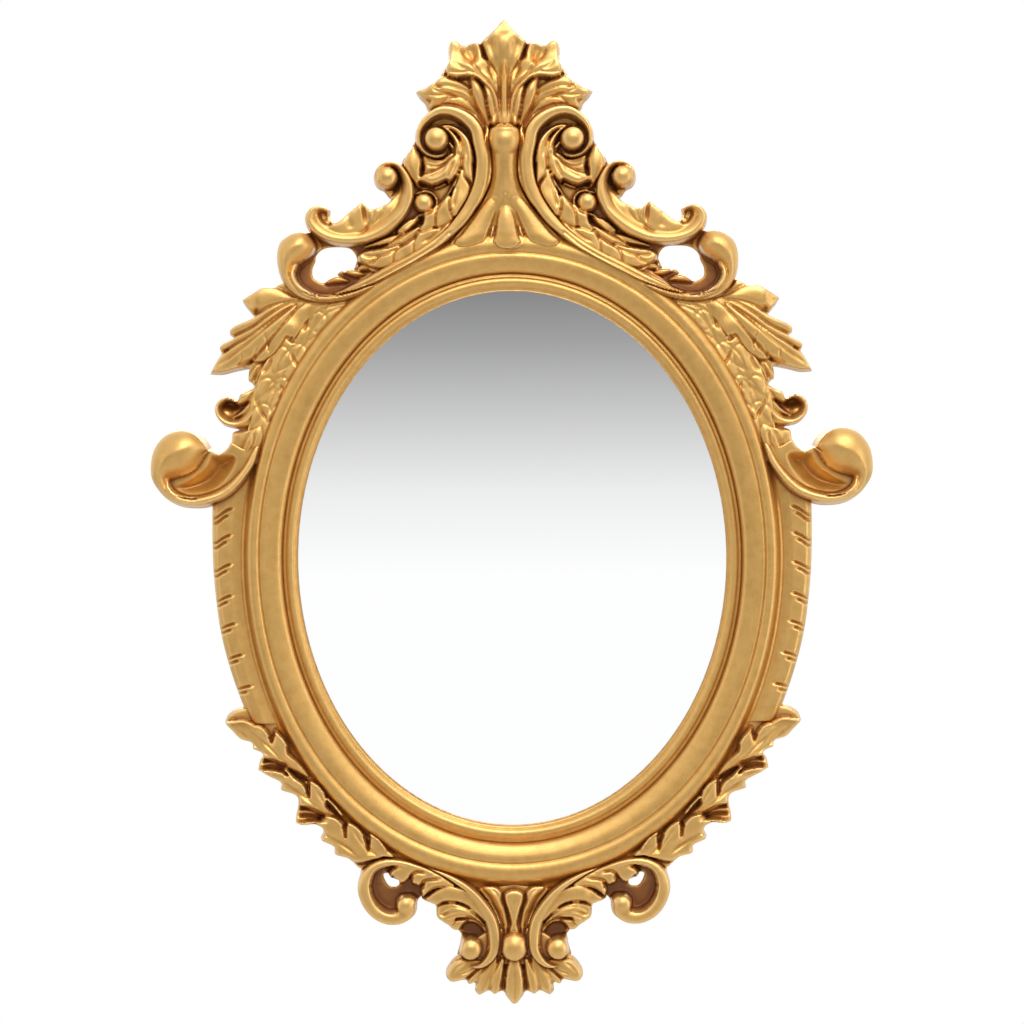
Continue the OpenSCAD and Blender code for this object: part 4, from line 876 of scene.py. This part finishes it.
def foot_band():
    """The leafy band of the foot that curls round a bead"""
    r = Relief(10, 76, -326, -232, BASE_Z + BASE_STEP)
    r.pillow([(69, -239), (52.5, -248), (37, -256), (21.5, -268.5), (16, -287), (21, -306), (33.5, -311.5),
              (42.5, -307), (41.5, -296), (41, -287), (47, -287), (53, -282), (59.5, -277.5), (61, -268),
              (68, -265), (71.5, -262), (68.5, -254)], 17, 1, 4)
    r.pillow([(70, -262.5), (70, -262.5), (65.5, -259.5), (59.5, -255), (50, -251), (39.5, -253.5),
              (28.5, -260.5), (21.5, -271.5), (21, -280.5), (30, -273), (36.5, -267.5), (44, -265),
              (53, -265), (59.5, -267.5), (65, -266)],
             [(68.5, -262, 24), (44.5, -257.5, 28), (27, -267, 28)], 2, 6, 1, soft=1)
    r.pillow([(60, -269.5), (55.5, -266.5), (47, -265), (38, -267.5), (29.5, -273.5), (22.5, -284),
              (28.5, -279), (36.5, -277), (44, -277), (47, -282), (51.5, -283), (56.5, -280),
              (59.5, -276.5)], [(58, -273, 23), (41, -270, 27), (25.5, -279, 25)], 2, 5, 0.8, soft=0.8)
    r.pillow([(49.5, -283), (45.5, -279), (41, -278), (35.5, -278.5), (39.5, -283), (41, -287), (47, -287)],
             21, 2, 3, 1)
    r.groove([(59.5, -268), (53, -264.5), (44, -265), (35.5, -268.5)], 0.9, 3)
    r.groove([(56.5, -269.5), (55, -274.5), (50, -273.5), (44, -271.5)], 0.8, 1.6)
    r.groove([(53, -278), (45.5, -275), (38, -275), (30, -278.5)], 0.8, 1.8)
    r.sweep([(55.5, -273, 0.8, 26), (48.5, -270, 0.8, 28), (39.5, -271, 0.8, 29), (30, -276, 0.8, 28)],
            THREAD, 0.8)
    r.sink([(41.5, -290.5), (41.5, -285), (38, -281.5), (32.5, -280.5), (27, -283), (22.5, -289),
            (20.5, -297.5), (21, -305.5), (25, -310), (30.5, -311), (28.5, -302.5), (30, -294.5),
            (36.5, -292)], 9.5, 1.5)
    r.ball(33.5, -300.5, 8.8, 37, 0.5)
    r.sweep([(69, -237.5, 0.8, 28), (56.5, -242, 2.3, 30), (44, -248.5, 3.4, 32), (33, -256.5, 3.9, 33),
             (24, -267, 4.6, 33.5), (17.5, -278.5, 5.1), (15, -291, 5.2), (16, -302.5, 4.9),
             (21.5, -310.5, 4, 33), (28, -314, 2.8, 32), (35, -314, 1.2, 31)], BAND)
    r.sweep([(33.5, -251.5, 0.5, 28), (24, -258.5, 0.9, 29), (15.5, -270, 1.2, 29.5), (10.5, -283),
             (9.5, -293, 0.8, 29)], THREAD)
    return r


def foot_palmette():
    """The middle of the foot: a scalloped stem over an egg"""
    r = Relief(0, 30, -318, -238, BASE_Z + 2 * BASE_STEP)
    r.pillow(both([(0, -250.5), (10, -252), (21.5, -252), (27, -254.5), (24, -260.5), (16, -270), (11, -284),
                   (10, -294.5), (11, -311.5), (0, -315)]), 21, 1, 4)
    r.pillow([(24.5, -252.5), (19.5, -252), (12.5, -254), (9.5, -257.5), (9.5, -263), (6, -273), (4.5, -283),
              (7, -290), (8.5, -281), (12.5, -270), (18.5, -260), (23, -255)],
             [(22.5, -253.5, 26), (10, -260, 27), (6, -283, 25)], 2, 4, 0.8, soft=0.6)
    r.pillow(both([(0, -255), (4.5, -256), (7.5, -259), (6.5, -265.5), (4, -273), (2.5, -281), (4, -288.5),
                   (0, -290)]), [(0, -257.5, 28.5), (0, -275.5, 29.5), (0, -287, 28)], 2, 4, 1, soft=0.6)
    r.groove([(21, -256), (14, -264.5), (9.5, -274.5), (8, -285.5)], 0.8, 2)
    r.groove([(8.5, -258.5), (7.5, -264), (5.5, -272.5), (4, -282.5)], 0.8, 3)
    r.groove([(18, -253.5), (11.5, -260.5), (8.5, -270)], 0.8, 1.4)
    r.ball(0, -299, 10.2, 41, 0.6, stretch=1.08)
    return r


def foot_leaf():
    """The hanging leaf at the very bottom"""
    r = Relief(0, 58, -348, -276, BASE_Z + 3 * BASE_STEP)
    r.pillow(both([(0, -283), (19.5, -287), (31.5, -294.5), (42, -305.5), (47.5, -310), (52.5, -317.5),
                   (52.5, -324), (48, -327.5), (38.5, -326), (35, -328.5), (30.5, -328.5), (30.5, -334.5),
                   (27, -337.5), (20.5, -334.5), (15, -336), (9, -335), (6, -339.5), (3, -342.5),
                   (0, -343.5), (0, -343.5)]), 18, 2, 4)
    r.sweep([(26, -311.5, 1.5, 23), (33.5, -314, 5.4, 25), (41.5, -317.5, 7.3, 26), (47, -321.5, 5, 25),
             (50, -324.5, 1.2, 24)], SCALE, 1)
    r.groove([(30.5, -314.5), (36, -318.5), (42.5, -320.5)], 0.8, 1.5)
    r.groove([(39.5, -311.5), (44.5, -315.5), (47.5, -320)], 0.8, 1.2)
    r.sweep([(23, -314.5, 1.5, 24), (27.5, -321, 3.5, 26), (33.5, -326, 2.7, 25), (35.5, -328, 0.8, 24)],
            LEAF, 1)
    r.sweep([(15, -308.5, 2.3, 25), (19, -319.5, 5.4, 27), (24, -329.5, 5.4, 26.5), (27, -336, 0.8, 25)],
            LEAF, 1)
    r.sweep([(9, -310, 2.3, 26), (12.5, -322.5, 4.6, 28), (14.5, -331.5, 4.2, 27), (16, -336, 0.8, 26)],
            LEAF, 1)
    r.sweep([(-1, -306.5, 4.6, 27), (-0.5, -318, 6.9, 29.5), (0, -330, 7.3, 29), (0, -339.5, 4.6, 27),
             (0, -343, 0.6, 26)], LEAF, 3)
    r.groove([(7, -310), (8.5, -321.5), (11, -332.5)], 1, 4)
    return r


# The ring's section from the glass outwards, as (distance from the glass, height), a closed line
RING_SECTION = [(0, 13.5), (0, 13.5), (0, 16.8), (0.3, 17), (0.3, 17), (1.4, 17.2), (2.2, 17.9), (3, 19.2),
                (4.4, 20.6), (6.2, 21.1), (7.8, 20.9), (9, 20.2), (9.7, 19.5), (10.6, 19.3), (11.8, 19.1),
                (12.4, 18.4), (12.4, 18.4), (12.8, 20), (13.2, 22.4), (14, 24.4), (15.4, 25.8), (17.6, 26.8),
                (20.4, 27.6), (23.6, 28.2), (26.8, 28.5), (28.6, 28.5), (30.2, 28.2), (31, 27.7),
                (31.6, 27.3), (32.2, 27.8), (33, 28.5), (34.4, 29.2), (36.6, 29.6), (38.8, 29.1),
                (40.6, 27.8), (41.8, 25.8), (42.8, 23), (43.8, 20.4), (45.2, 18.8), (47, 17.9), (48, 17.2),
                (48.4, 16), (48.4, 16), (48.4, 0.1), (48.4, 0.1), (30, 0.1), (30, 0.1), (30, 7), (30, 7),
                (8, 7), (8, 7), (8, 13.5), (8, 13.5)]


def ring_offset(off, angle):
    """Where a place in the ring's section lies: its crease is nearer the glass at the top and the bottom"""
    near = np.clip(1 - np.abs(off - CREASE_AT) / CREASE_REACH, 0, 1)
    return off - CREASE_SHIFT * np.sin(angle) ** 4 * near * near * (3 - 2 * near)


def oval_point(angle, off):
    """A point at one distance outside the visible glass, at an angle in radians"""
    nx = math.cos(angle) / SIGHT_W
    ny = math.sin(angle) / SIGHT_H
    reach = off * (1 - WIDEN * math.cos(2 * angle)) / math.hypot(nx, ny)
    return SIGHT_W * math.cos(angle) + nx * reach, SIGHT_H * math.sin(angle) + ny * reach


def distance_from_glass(x, y):
    """How far points are outside the visible glass, measured along the moulding's own section"""
    angle = np.arctan2(y / (SIGHT_H + RING_MIDDLE), x / (SIGHT_W + RING_MIDDLE))
    for _ in range(8):
        c, s = np.cos(angle), np.sin(angle)
        tx, ty = -SIGHT_W * s, SIGHT_H * c
        gap = (x - SIGHT_W * c) * tx + (y - SIGHT_H * s) * ty
        angle = angle + 0.8 * gap / (tx * tx + ty * ty + RING_MIDDLE * np.hypot(tx, ty))
    c, s = np.cos(angle), np.sin(angle)
    nx, ny = c / SIGHT_W, s / SIGHT_H
    off = ((x - SIGHT_W * c) * nx + (y - SIGHT_H * s) * ny) / np.hypot(nx, ny)
    return off / (1 - WIDEN * np.cos(2 * angle)), angle


# Pieces of the model


def mesh_object(name, points, groups, closed=False):
    """An object from metre points and groups of faces; closed fills its open back"""
    mesh = bpy.data.meshes.new(name)
    mesh.vertices.add(len(points))
    mesh.vertices.foreach_set("co", points.astype(np.float32).ravel())
    corners = np.concatenate([g.ravel() for g in groups]).astype(np.int32)
    sizes = np.concatenate([np.full(len(g), g.shape[1]) for g in groups])
    mesh.loops.add(len(corners))
    mesh.loops.foreach_set("vertex_index", corners)
    mesh.polygons.add(len(sizes))
    mesh.polygons.foreach_set("loop_start", (np.cumsum(sizes) - sizes).astype(np.int32))
    mesh.update(calc_edges=True)
    mesh.validate()
    mesh.shade_smooth()
    if closed:
        b = bmesh.new()
        b.from_mesh(mesh)
        open_edges = [e for e in b.edges if len(e.link_faces) == 1]
        for e in open_edges:
            e.smooth = False
        made = bmesh.ops.triangle_fill(b, edges=open_edges, normal=(0, 1, 0))
        for face in made["geom"]:
            if isinstance(face, bmesh.types.BMFace):
                face.smooth = False
                face.normal_update()
                if face.normal.y < 0:
                    face.normal_flip()
        b.to_mesh(mesh)
        b.free()
    obj = bpy.data.objects.new(name, mesh)
    bpy.context.scene.collection.objects.link(obj)
    return obj


class Map:
    """The whole right-hand half from the front, used to find what lies deep for patina and painted shade"""

    def __init__(self):
        self.j0 = int(MAP_LOW / STEP)
        x = np.arange(int(MAP_W / STEP)) * STEP
        y = (np.arange(int(MAP_H / STEP)) + self.j0) * STEP
        xs, ys = np.meshgrid(x, y)
        off, angle = distance_from_glass(xs, ys)
        at = off
        for _ in range(4):
            at = off + at - ring_offset(at, angle)
        section = smooth(RING_SECTION, 4)
        front = section[:np.argmax(section[:, 1] < 1)]
        self.height = np.interp(at, front[:, 0], front[:, 1], left=GLASS_Z, right=BESIDE_Z)
        self.plain = self.deep(self.height)
        self.height[off > RING_W] = 0

    def add(self, r, height):
        """Lays a relief's surface on the map"""
        j, i = r.j0 - self.j0, r.i0
        rows = slice(j, j + len(r.y))
        cols = slice(i, i + len(r.x))
        here = self.height[rows, cols]
        here[:] = np.where(r.inside > 0, np.maximum(here, height), here)

    def deep(self, height):
        """Depth below the surroundings, over a wide and a narrow reach"""
        return sum(weight * np.clip((blur(height, reach / STEP) - height) / full, -1, 1)
                   for reach, full, weight in (WIDE, NEAR))

    def settle(self):
        """Finds the patina and painted shade values once every relief is on the map"""
        # Deep and low places get patina and painted shade
        low = np.where(self.height > 1, np.clip((LOW_GROUND - self.height) / LOW_OVER, 0, 1), 0)
        self.cavity = self.deep(self.height) - PLAIN_SHARE * self.plain + LOW_SHARE * low

    def sample(self, points):
        """Patina and painted shade values at points in millimetres, either side"""
        i = np.clip(np.abs(points[:, 0]) / STEP, 0, self.cavity.shape[1] - 1.01)
        j = np.clip(points[:, 1] / STEP - self.j0, 0, self.cavity.shape[0] - 1.01)
        i0, j0 = i.astype(int), j.astype(int)
        u, v = i - i0, j - j0
        c = self.cavity
        return (c[j0, i0] * (1 - u) * (1 - v) + c[j0, i0 + 1] * u * (1 - v) + c[j0 + 1, i0] * (1 - u) * v
                + c[j0 + 1, i0 + 1] * u * v)


def relief_object(name, node, points, faces, rim, edge, base, mirrored):
    """A piece that stands for one ornament, from its relief's mesh"""
    p = points.copy()
    groups = list(faces)
    if mirrored:
        p[:, 0] = -p[:, 0]
        groups = [g[:, ::-1] for g in groups]
    used = np.unique(rim)
    low = np.full(len(p), -1)
    low[used] = len(p) + np.arange(len(used))
    floor = p[used].copy()
    floor[:, 2] = base
    a, b = rim[:, 0], rim[:, 1]
    walls = np.stack([b, a, low[a], low[b]], 1)
    groups.append(walls[:, ::-1] if mirrored else walls)
    p = np.vstack([p, floor])
    side = np.ones(len(p), bool)
    side[:len(points)] = edge
    side[used] = True
    obj = mesh_object(name, to_world(p), groups, closed=True)
    return finish_piece(obj, node, side)


def finish_piece(obj, node, side):
    """Gives a gold piece its patina and painted shade values, plain where side is true, its finish and its
    body
    """
    mesh = obj.data
    co = np.zeros(len(mesh.vertices) * 3, np.float32)
    mesh.vertices.foreach_get("co", co)
    co = co.reshape(-1, 3)
    # Each vertex gets its patina and painted shade value from the map, and a fixed one on the sides
    values = np.where(side, SIDE_PATINA_AND_SHADE, depth.sample(co[:, [0, 2]] / MM))
    attribute = mesh.attributes.new("cavity", "FLOAT", "POINT")
    attribute.data.foreach_set("value", values.astype(np.float32))
    if node.startswith("crest"):
        rise = np.clip((co[:, 2] / MM - LEAN_FROM) / LEAN_OVER, 0, 1)
        co[:, 0] -= CREST_LEAN * MM * rise * rise * (3 - 2 * rise)
        mesh.vertices.foreach_set("co", co.ravel())
    mesh.materials.append(gold)
    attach(obj, "frame")
    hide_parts(node)
    return obj


def ring_object():
    """The moulded ring"""
    section = smooth(RING_SECTION, 3, closed=True)
    n = 480
    m = len(section)
    points = np.zeros((n, m, 3))
    for k in range(n):
        for i, (off, z) in enumerate(section):
            angle = 2 * math.pi * k / n
            x, y = oval_point(angle, ring_offset(off, angle) if z > RING_FRONT_Z else off)
            points[k, i] = x, y, z
    k, i = np.meshgrid(np.arange(n), np.arange(m), indexing="ij")
    k1, i1 = (k + 1) % n, (i + 1) % m
    quads = np.stack([k * m + i, k * m + i1, k1 * m + i1, k1 * m + i], -1).reshape(-1, 4)
    quads = quads[:, ::-1]
    obj = mesh_object("moulded_ring", to_world(points.reshape(-1, 3)), [quads])
    obj.data.set_sharp_from_angle(angle=math.radians(50))
    return finish_piece(obj, "oval_frame", points.reshape(-1, 3)[:, 2] < RING_SIDE_Z)


# Right half of the crest plate's outline
PLATE_HALF = [(0, 400), (14, 390), (34, 386), (38, 368), (54, 356), (54, 344), (60, 332), (64, 314),
              (80, 296), (84, 284), (74, 276), (80, 262), (100, 250), (105, 228), (0, 262)]


def plate_object():
    """The plate behind the crest, which leans with it and leaves the screws' heads free at the back"""
    right = np.array(PLATE_HALF, float)
    outline = np.vstack([right, right[::-1][1:-1] * (-1, 1)])
    n = len(outline)
    points = np.zeros((2 * n, 3))
    points[:n, :2] = outline
    points[n:, :2] = outline
    points[:n, 2] = PLATE_BACK
    points[n:, 2] = PLATE_T
    k = np.arange(n)
    walls = np.stack([k, k + n, (k + 1) % n + n, (k + 1) % n], -1)
    faces = [walls, k[::-1][None, :], k[None, :] + n]
    obj = mesh_object("crest_backing", to_world(points), faces)
    obj.data.shade_flat()
    return finish_piece(obj, "crest_plate", np.ones(len(points), bool))


# Materials


def node_tree(name):
    """A new material with its node tree and shader"""
    material = bpy.data.materials.new(name)
    material.use_nodes = True
    tree = material.node_tree
    return material, tree, tree.nodes["Principled BSDF"]


def add(tree, kind, **inputs):
    """A shader node with its constant inputs set by name"""
    node = tree.nodes.new(kind)
    for key, value in inputs.items():
        node.inputs[key.replace("_", " ")].default_value = value
    return node


def noise(tree, scale, detail=3.0, roughness=0.5):
    """Noise in the object's own coordinates"""
    coords = add(tree, "ShaderNodeTexCoord")
    texture = add(tree, "ShaderNodeTexNoise", Scale=scale, Detail=detail, Roughness=roughness)
    tree.links.new(coords.outputs["Object"], texture.inputs["Vector"])
    return texture.outputs["Fac"]


def ramp(tree, value, stops):
    """A colour ramp from a value; stops are (place, (r, g, b)) or (place, grey)"""
    node = tree.nodes.new("ShaderNodeValToRGB")
    elements = node.color_ramp.elements
    while len(elements) < len(stops):
        elements.new(0.5)
    for element, (place, colour) in zip(elements, stops):
        element.position = place
        element.color = (*colour, 1) if isinstance(colour, tuple) else (colour, colour, colour, 1)
    tree.links.new(value, node.inputs["Fac"])
    return node.outputs["Color"]


def mixed(tree, factor, a, b):
    """A mix of two colours, each a socket or (r, g, b)"""
    node = tree.nodes.new("ShaderNodeMix")
    node.data_type = "RGBA"
    tree.links.new(factor, node.inputs["Factor"])
    for socket, value in ((node.inputs[6], a), (node.inputs[7], b)):
        if isinstance(value, tuple):
            socket.default_value = (*value, 1)
        else:
            tree.links.new(value, socket)
    return node.outputs[2]


def scaled(tree, value, low, high, to_low, to_high):
    """A value moved from the range low to high to another range, and clamped there"""
    node = add(tree, "ShaderNodeMapRange")
    tree.links.new(value, node.inputs["Value"])
    for key, number in (("From Min", low), ("From Max", high), ("To Min", to_low), ("To Max", to_high)):
        node.inputs[key].default_value = number
    return node.outputs["Result"]


def bump(tree, height, strength, distance):
    """A normal from a height"""
    node = add(tree, "ShaderNodeBump", Strength=strength, Distance=distance)
    tree.links.new(height, node.inputs["Height"])
    return node.outputs["Normal"]


def gold_paint():
    """Aged gold leaf paint: rubbed bright on what stands out, brown in what lies deep, partly patina and
    partly painted shade
    """
    material, tree, shader = node_tree("gold_paint")
    cavity = add(tree, "ShaderNodeAttribute")
    cavity.attribute_name = "cavity"
    grain = scaled(tree, noise(tree, 160, 4, 0.6), 0.3, 0.7, -0.08, 0.08)
    total = tree.nodes.new("ShaderNodeMath")
    total.operation = "ADD"
    tree.links.new(cavity.outputs["Fac"], total.inputs[0])
    tree.links.new(grain, total.inputs[1])
    patina_and_shade_level = scaled(tree, total.outputs[0], -0.5, 0.7, 0, 1)
    # Colour by that value: rubbed gold, then browns for patina and painted shade in hollows and creases
    colour = ramp(tree, patina_and_shade_level, [(0.0, (0.82, 0.53, 0.20)), (0.4, (0.66, 0.385, 0.11)),
                                      (0.58, (0.54, 0.27, 0.055)), (0.78, (0.40, 0.15, 0.022)),
                                      (1.0, (0.23, 0.07, 0.006))])
    mottle = scaled(tree, noise(tree, 45, 5, 0.6), 0.35, 0.7, 0, 0.12)
    colour = mixed(tree, mottle, colour, (0.55, 0.30, 0.09))
    tree.links.new(colour, shader.inputs["Base Color"])
    tree.links.new(scaled(tree, patina_and_shade_level, 0.5, 0.85, 0.85, 0.35), shader.inputs["Metallic"])
    rough = scaled(tree, noise(tree, 90, 4, 0.6), 0.3, 0.7, 0.34, 0.44)
    tree.links.new(rough, shader.inputs["Roughness"])
    tree.links.new(bump(tree, noise(tree, 700, 4, 0.6), 0.25, 0.0004), shader.inputs["Normal"])
    shader.inputs["Coat Weight"].default_value = 0.3
    shader.inputs["Coat Roughness"].default_value = 0.3
    return material


def grained(name, metallic, grain, dark, light, rough, relief=None):
    """A finish whose colour, roughness and relief follow noise of (scale, detail, roughness): rough is a
    number or (noise, low, high, to low, to high), and relief is (noise, strength, distance)"""
    material, tree, shader = node_tree(name)
    shader.inputs["Metallic"].default_value = metallic
    tree.links.new(mixed(tree, noise(tree, *grain), dark, light), shader.inputs["Base Color"])
    if isinstance(rough, tuple):
        tree.links.new(scaled(tree, noise(tree, *rough[0]), *rough[1:]), shader.inputs["Roughness"])
    else:
        shader.inputs["Roughness"].default_value = rough
    if relief:
        tree.links.new(bump(tree, noise(tree, *relief[0]), *relief[1:]), shader.inputs["Normal"])
    return material


gold = gold_paint()
# Silvered glass with a faint haze
mirror = grained("mirror_glass", 1, (6, 2), (0.98, 0.985, 0.985), (0.99, 0.995, 0.995),
                 ((9, 4), 0.4, 0.7, 0, 0.012))
# Dark closed-cell foam
foam = grained("foam", 0, (2000, 2), (0.035, 0.035, 0.037), (0.09, 0.09, 0.095), 0.9,
               ((1800, 2), 0.5, 0.0005))
# Brown pressed board with a fine fibre grain
hardboard = grained("hardboard", 0, (500, 6, 0.7), (0.2, 0.115, 0.055), (0.34, 0.21, 0.11), 0.7,
                    ((1200, 5, 0.7), 0.3, 0.0004))
# Zinc-plated steel with fine scratches
steel = grained("plated_steel", 1, (300, 3), (0.55, 0.56, 0.58), (0.72, 0.73, 0.74),
                ((900, 3), 0.3, 0.7, 0.22, 0.42), ((1500, 2), 0.15, 0.0002))
# Brass screws with a dull bloom
brass = grained("brass_screws", 1, (400, 3), (0.72, 0.52, 0.2), (0.5, 0.33, 0.12),
                ((800, 3), 0.3, 0.7, 0.25, 0.5))
finishes = {"gold_paint": gold, "mirror_glass": mirror, "foam": foam, "hardboard": hardboard,
            "plated_steel": steel, "brass_screws": brass, "steel_screws": steel}

# The reliefs that stand once on the middle line, and those that stand left and right
MIDDLE = (crest_leaf, crest_post, foot_palmette, foot_leaf)
ORNAMENTS = (crest_leaf, crest_post, crest_volute, crest_scroll, crest_feathers, shoulder_leaf,
             shoulder_feathers, side_scroll, side_band, lower_leaf, foot_scroll, foot_band, foot_palmette,
             foot_leaf)
depth = Map()
reliefs = []
for make in ORNAMENTS:
    r = make()
    surface = finished(r)
    depth.add(r, surface)
    reliefs.append((make, r, surface))
depth.settle()

for make, r, surface in reliefs:
    node = make.__name__
    if make in MIDDLE:
        whole = np.hstack([surface[:, :0:-1], surface])
        inside = np.hstack([r.inside[:, :0:-1], r.inside])
        made = contour_mesh(whole, inside, np.concatenate([-r.x[:0:-1], r.x]), r.y, r.base + RIM_Z)
        relief_object(f"{node}_relief", node, *made, r.base, False)
    else:
        made = contour_mesh(surface, r.inside, r.x, r.y, r.base + RIM_Z)
        relief_object(f"{node}_right_relief", f"{node}_right", *made, r.base, False)
        relief_object(f"{node}_left_relief", f"{node}_left", *made, r.base, True)
plate_object()
ring_object()

# The CAD solids that stay get the finish of their material slot
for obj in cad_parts.values():
    if obj.hide_render:
        continue
    for k, material in enumerate(obj.data.materials):
        for slot_name, finish in finishes.items():
            if material and slot_name in material.name:
                obj.data.materials[k] = finish

# Stage: a pale floor well below, lamps above in front, weaker ones at both sides and a soft one behind
FLOOR_R = 6.0
FLOOR_Y = -2.0
FLOOR_Z = -0.9
floor_mesh = bpy.data.meshes.new("floor")
turns = np.linspace(0, 2 * math.pi, 96, endpoint=False)
rim = [(FLOOR_R * math.cos(t), FLOOR_Y + FLOOR_R * math.sin(t), FLOOR_Z) for t in turns]
floor_mesh.from_pydata(rim, [], [tuple(range(len(rim)))])
floor = bpy.data.objects.new("floor", floor_mesh)
bpy.context.scene.collection.objects.link(floor)
floor_material, floor_tree, floor_shader = node_tree("floor_white")
floor_shader.inputs["Base Color"].default_value = (0.86, 0.86, 0.86, 1)
floor_shader.inputs["Roughness"].default_value = 0.9
floor_path = floor_tree.nodes.new("ShaderNodeLightPath")
floor_glow = scaled(floor_tree, floor_path.outputs["Is Camera Ray"], 0, 1, 0, 0.5)
floor_shader.inputs["Emission Color"].default_value = (1, 1, 1, 1)
floor_tree.links.new(floor_glow, floor_shader.inputs["Emission Strength"])
floor_mesh.materials.append(floor_material)


def area_light(name, place, target, size_x, size_y, watts):
    """A white rectangular lamp at a place, turned to a target"""
    data = bpy.data.lights.new(name, "AREA")
    data.shape = "RECTANGLE"
    data.size = size_x
    data.size_y = size_y
    data.energy = watts
    light = bpy.data.objects.new(name, data)
    bpy.context.scene.collection.objects.link(light)
    direction = Vector(target) - Vector(place)
    turn = direction.to_track_quat("-Z", "Y").to_matrix().to_4x4()
    light.matrix_world = Matrix.Translation(Vector(place)) @ turn
    return light


area_light("key", (0.45, -1.15, 1.85), (0, 0, 0.05), 2.0, 1.0, 21)
area_light("front_top", (0.3, -2.2, 1.45), (0, 0, 0), 1.6, 0.6, 16)
area_light("fill_left", (-2.0, -0.9, 0.0), (0, 0, 0), 0.8, 1.8, 3.5)
area_light("fill_right", (2.0, -0.9, 0.0), (0, 0, 0), 0.8, 1.8, 8)
area_light("back_soft", (0, 2.2, 1.3), (0, 0, 0), 1.8, 1.2, 22)

# World: white behind the object, and for the mirror a sky that greys towards the top
world = bpy.data.worlds.new("studio")
bpy.context.scene.world = world
world.use_nodes = True
tree = world.node_tree
tree.nodes.clear()
coords = tree.nodes.new("ShaderNodeTexCoord")
split = tree.nodes.new("ShaderNodeSeparateXYZ")
tree.links.new(coords.outputs["Generated"], split.inputs[0])
slope = tree.nodes.new("ShaderNodeMath")
slope.operation = "DIVIDE"
tree.links.new(split.outputs["Z"], slope.inputs[0])
tree.links.new(split.outputs["Y"], slope.inputs[1])
sky = scaled(tree, slope.outputs[0], -0.06, 0.04, 0, 1)
sky = ramp(tree, sky, [(0, 0.225), (0.16, 0.365), (0.35, 0.6), (0.55, 0.86), (0.76, 1)])
ahead = scaled(tree, split.outputs["Y"], -0.992, -0.95, 1, 0)
upward = scaled(tree, split.outputs["Z"], -1, 1, 0, 1)
upward = ramp(tree, upward, [(0, 0.42), (0.3, 0.36), (0.5, 0.44), (0.6, 0.84), (0.7, 1)])
behind = scaled(tree, split.outputs["Y"], -0.25, 0.25, 0, 1)
around = mixed(tree, behind, upward, (1.0, 1.0, 1.0))
sky = mixed(tree, ahead, around, sky)


def background(strength, colour=(1, 1, 1, 1)):
    """A plain background of the world"""
    return add(tree, "ShaderNodeBackground", Color=colour, Strength=strength)


def either(ray, other, seen):
    """Shows the second shader to one kind of ray and the first to the others"""
    node = tree.nodes.new("ShaderNodeMixShader")
    tree.links.new(path.outputs[ray], node.inputs[0])
    tree.links.new(other.outputs[0], node.inputs[1])
    tree.links.new(seen.outputs[0], node.inputs[2])
    return node


path = tree.nodes.new("ShaderNodeLightPath")
glossy = background(1)
tree.links.new(sky, glossy.inputs["Color"])
studio = either("Is Camera Ray", either("Is Glossy Ray", background(0.5), glossy), background(1))
output = tree.nodes.new("ShaderNodeOutputWorld")
tree.links.new(studio.outputs[0], output.inputs["Surface"])

# Camera: level, the oval's centre a little below the middle of the frame, which takes in VIEW_W metres at
# the relief's distance VIEW_AT
SENSOR = 36
CAMERA_AWAY = 3.0
CAMERA_UP = 0.0355
CAMERA_ROLL = -0.3
VIEW_W = 0.790
VIEW_AT = 2.98
camera_data = bpy.data.cameras.new("camera")
camera_data.sensor_width = SENSOR
camera_data.lens = SENSOR * VIEW_AT / VIEW_W
camera_data.clip_end = 50
camera = bpy.data.objects.new("camera", camera_data)
bpy.context.scene.collection.objects.link(camera)
camera.matrix_world = (Matrix.Translation((0, -CAMERA_AWAY, CAMERA_UP))
                       @ Matrix.Rotation(math.radians(90), 4, "X")
                       @ Matrix.Rotation(math.radians(CAMERA_ROLL), 4, "Z"))
bpy.context.scene.camera = camera
bpy.context.scene.view_settings.view_transform = "Standard"
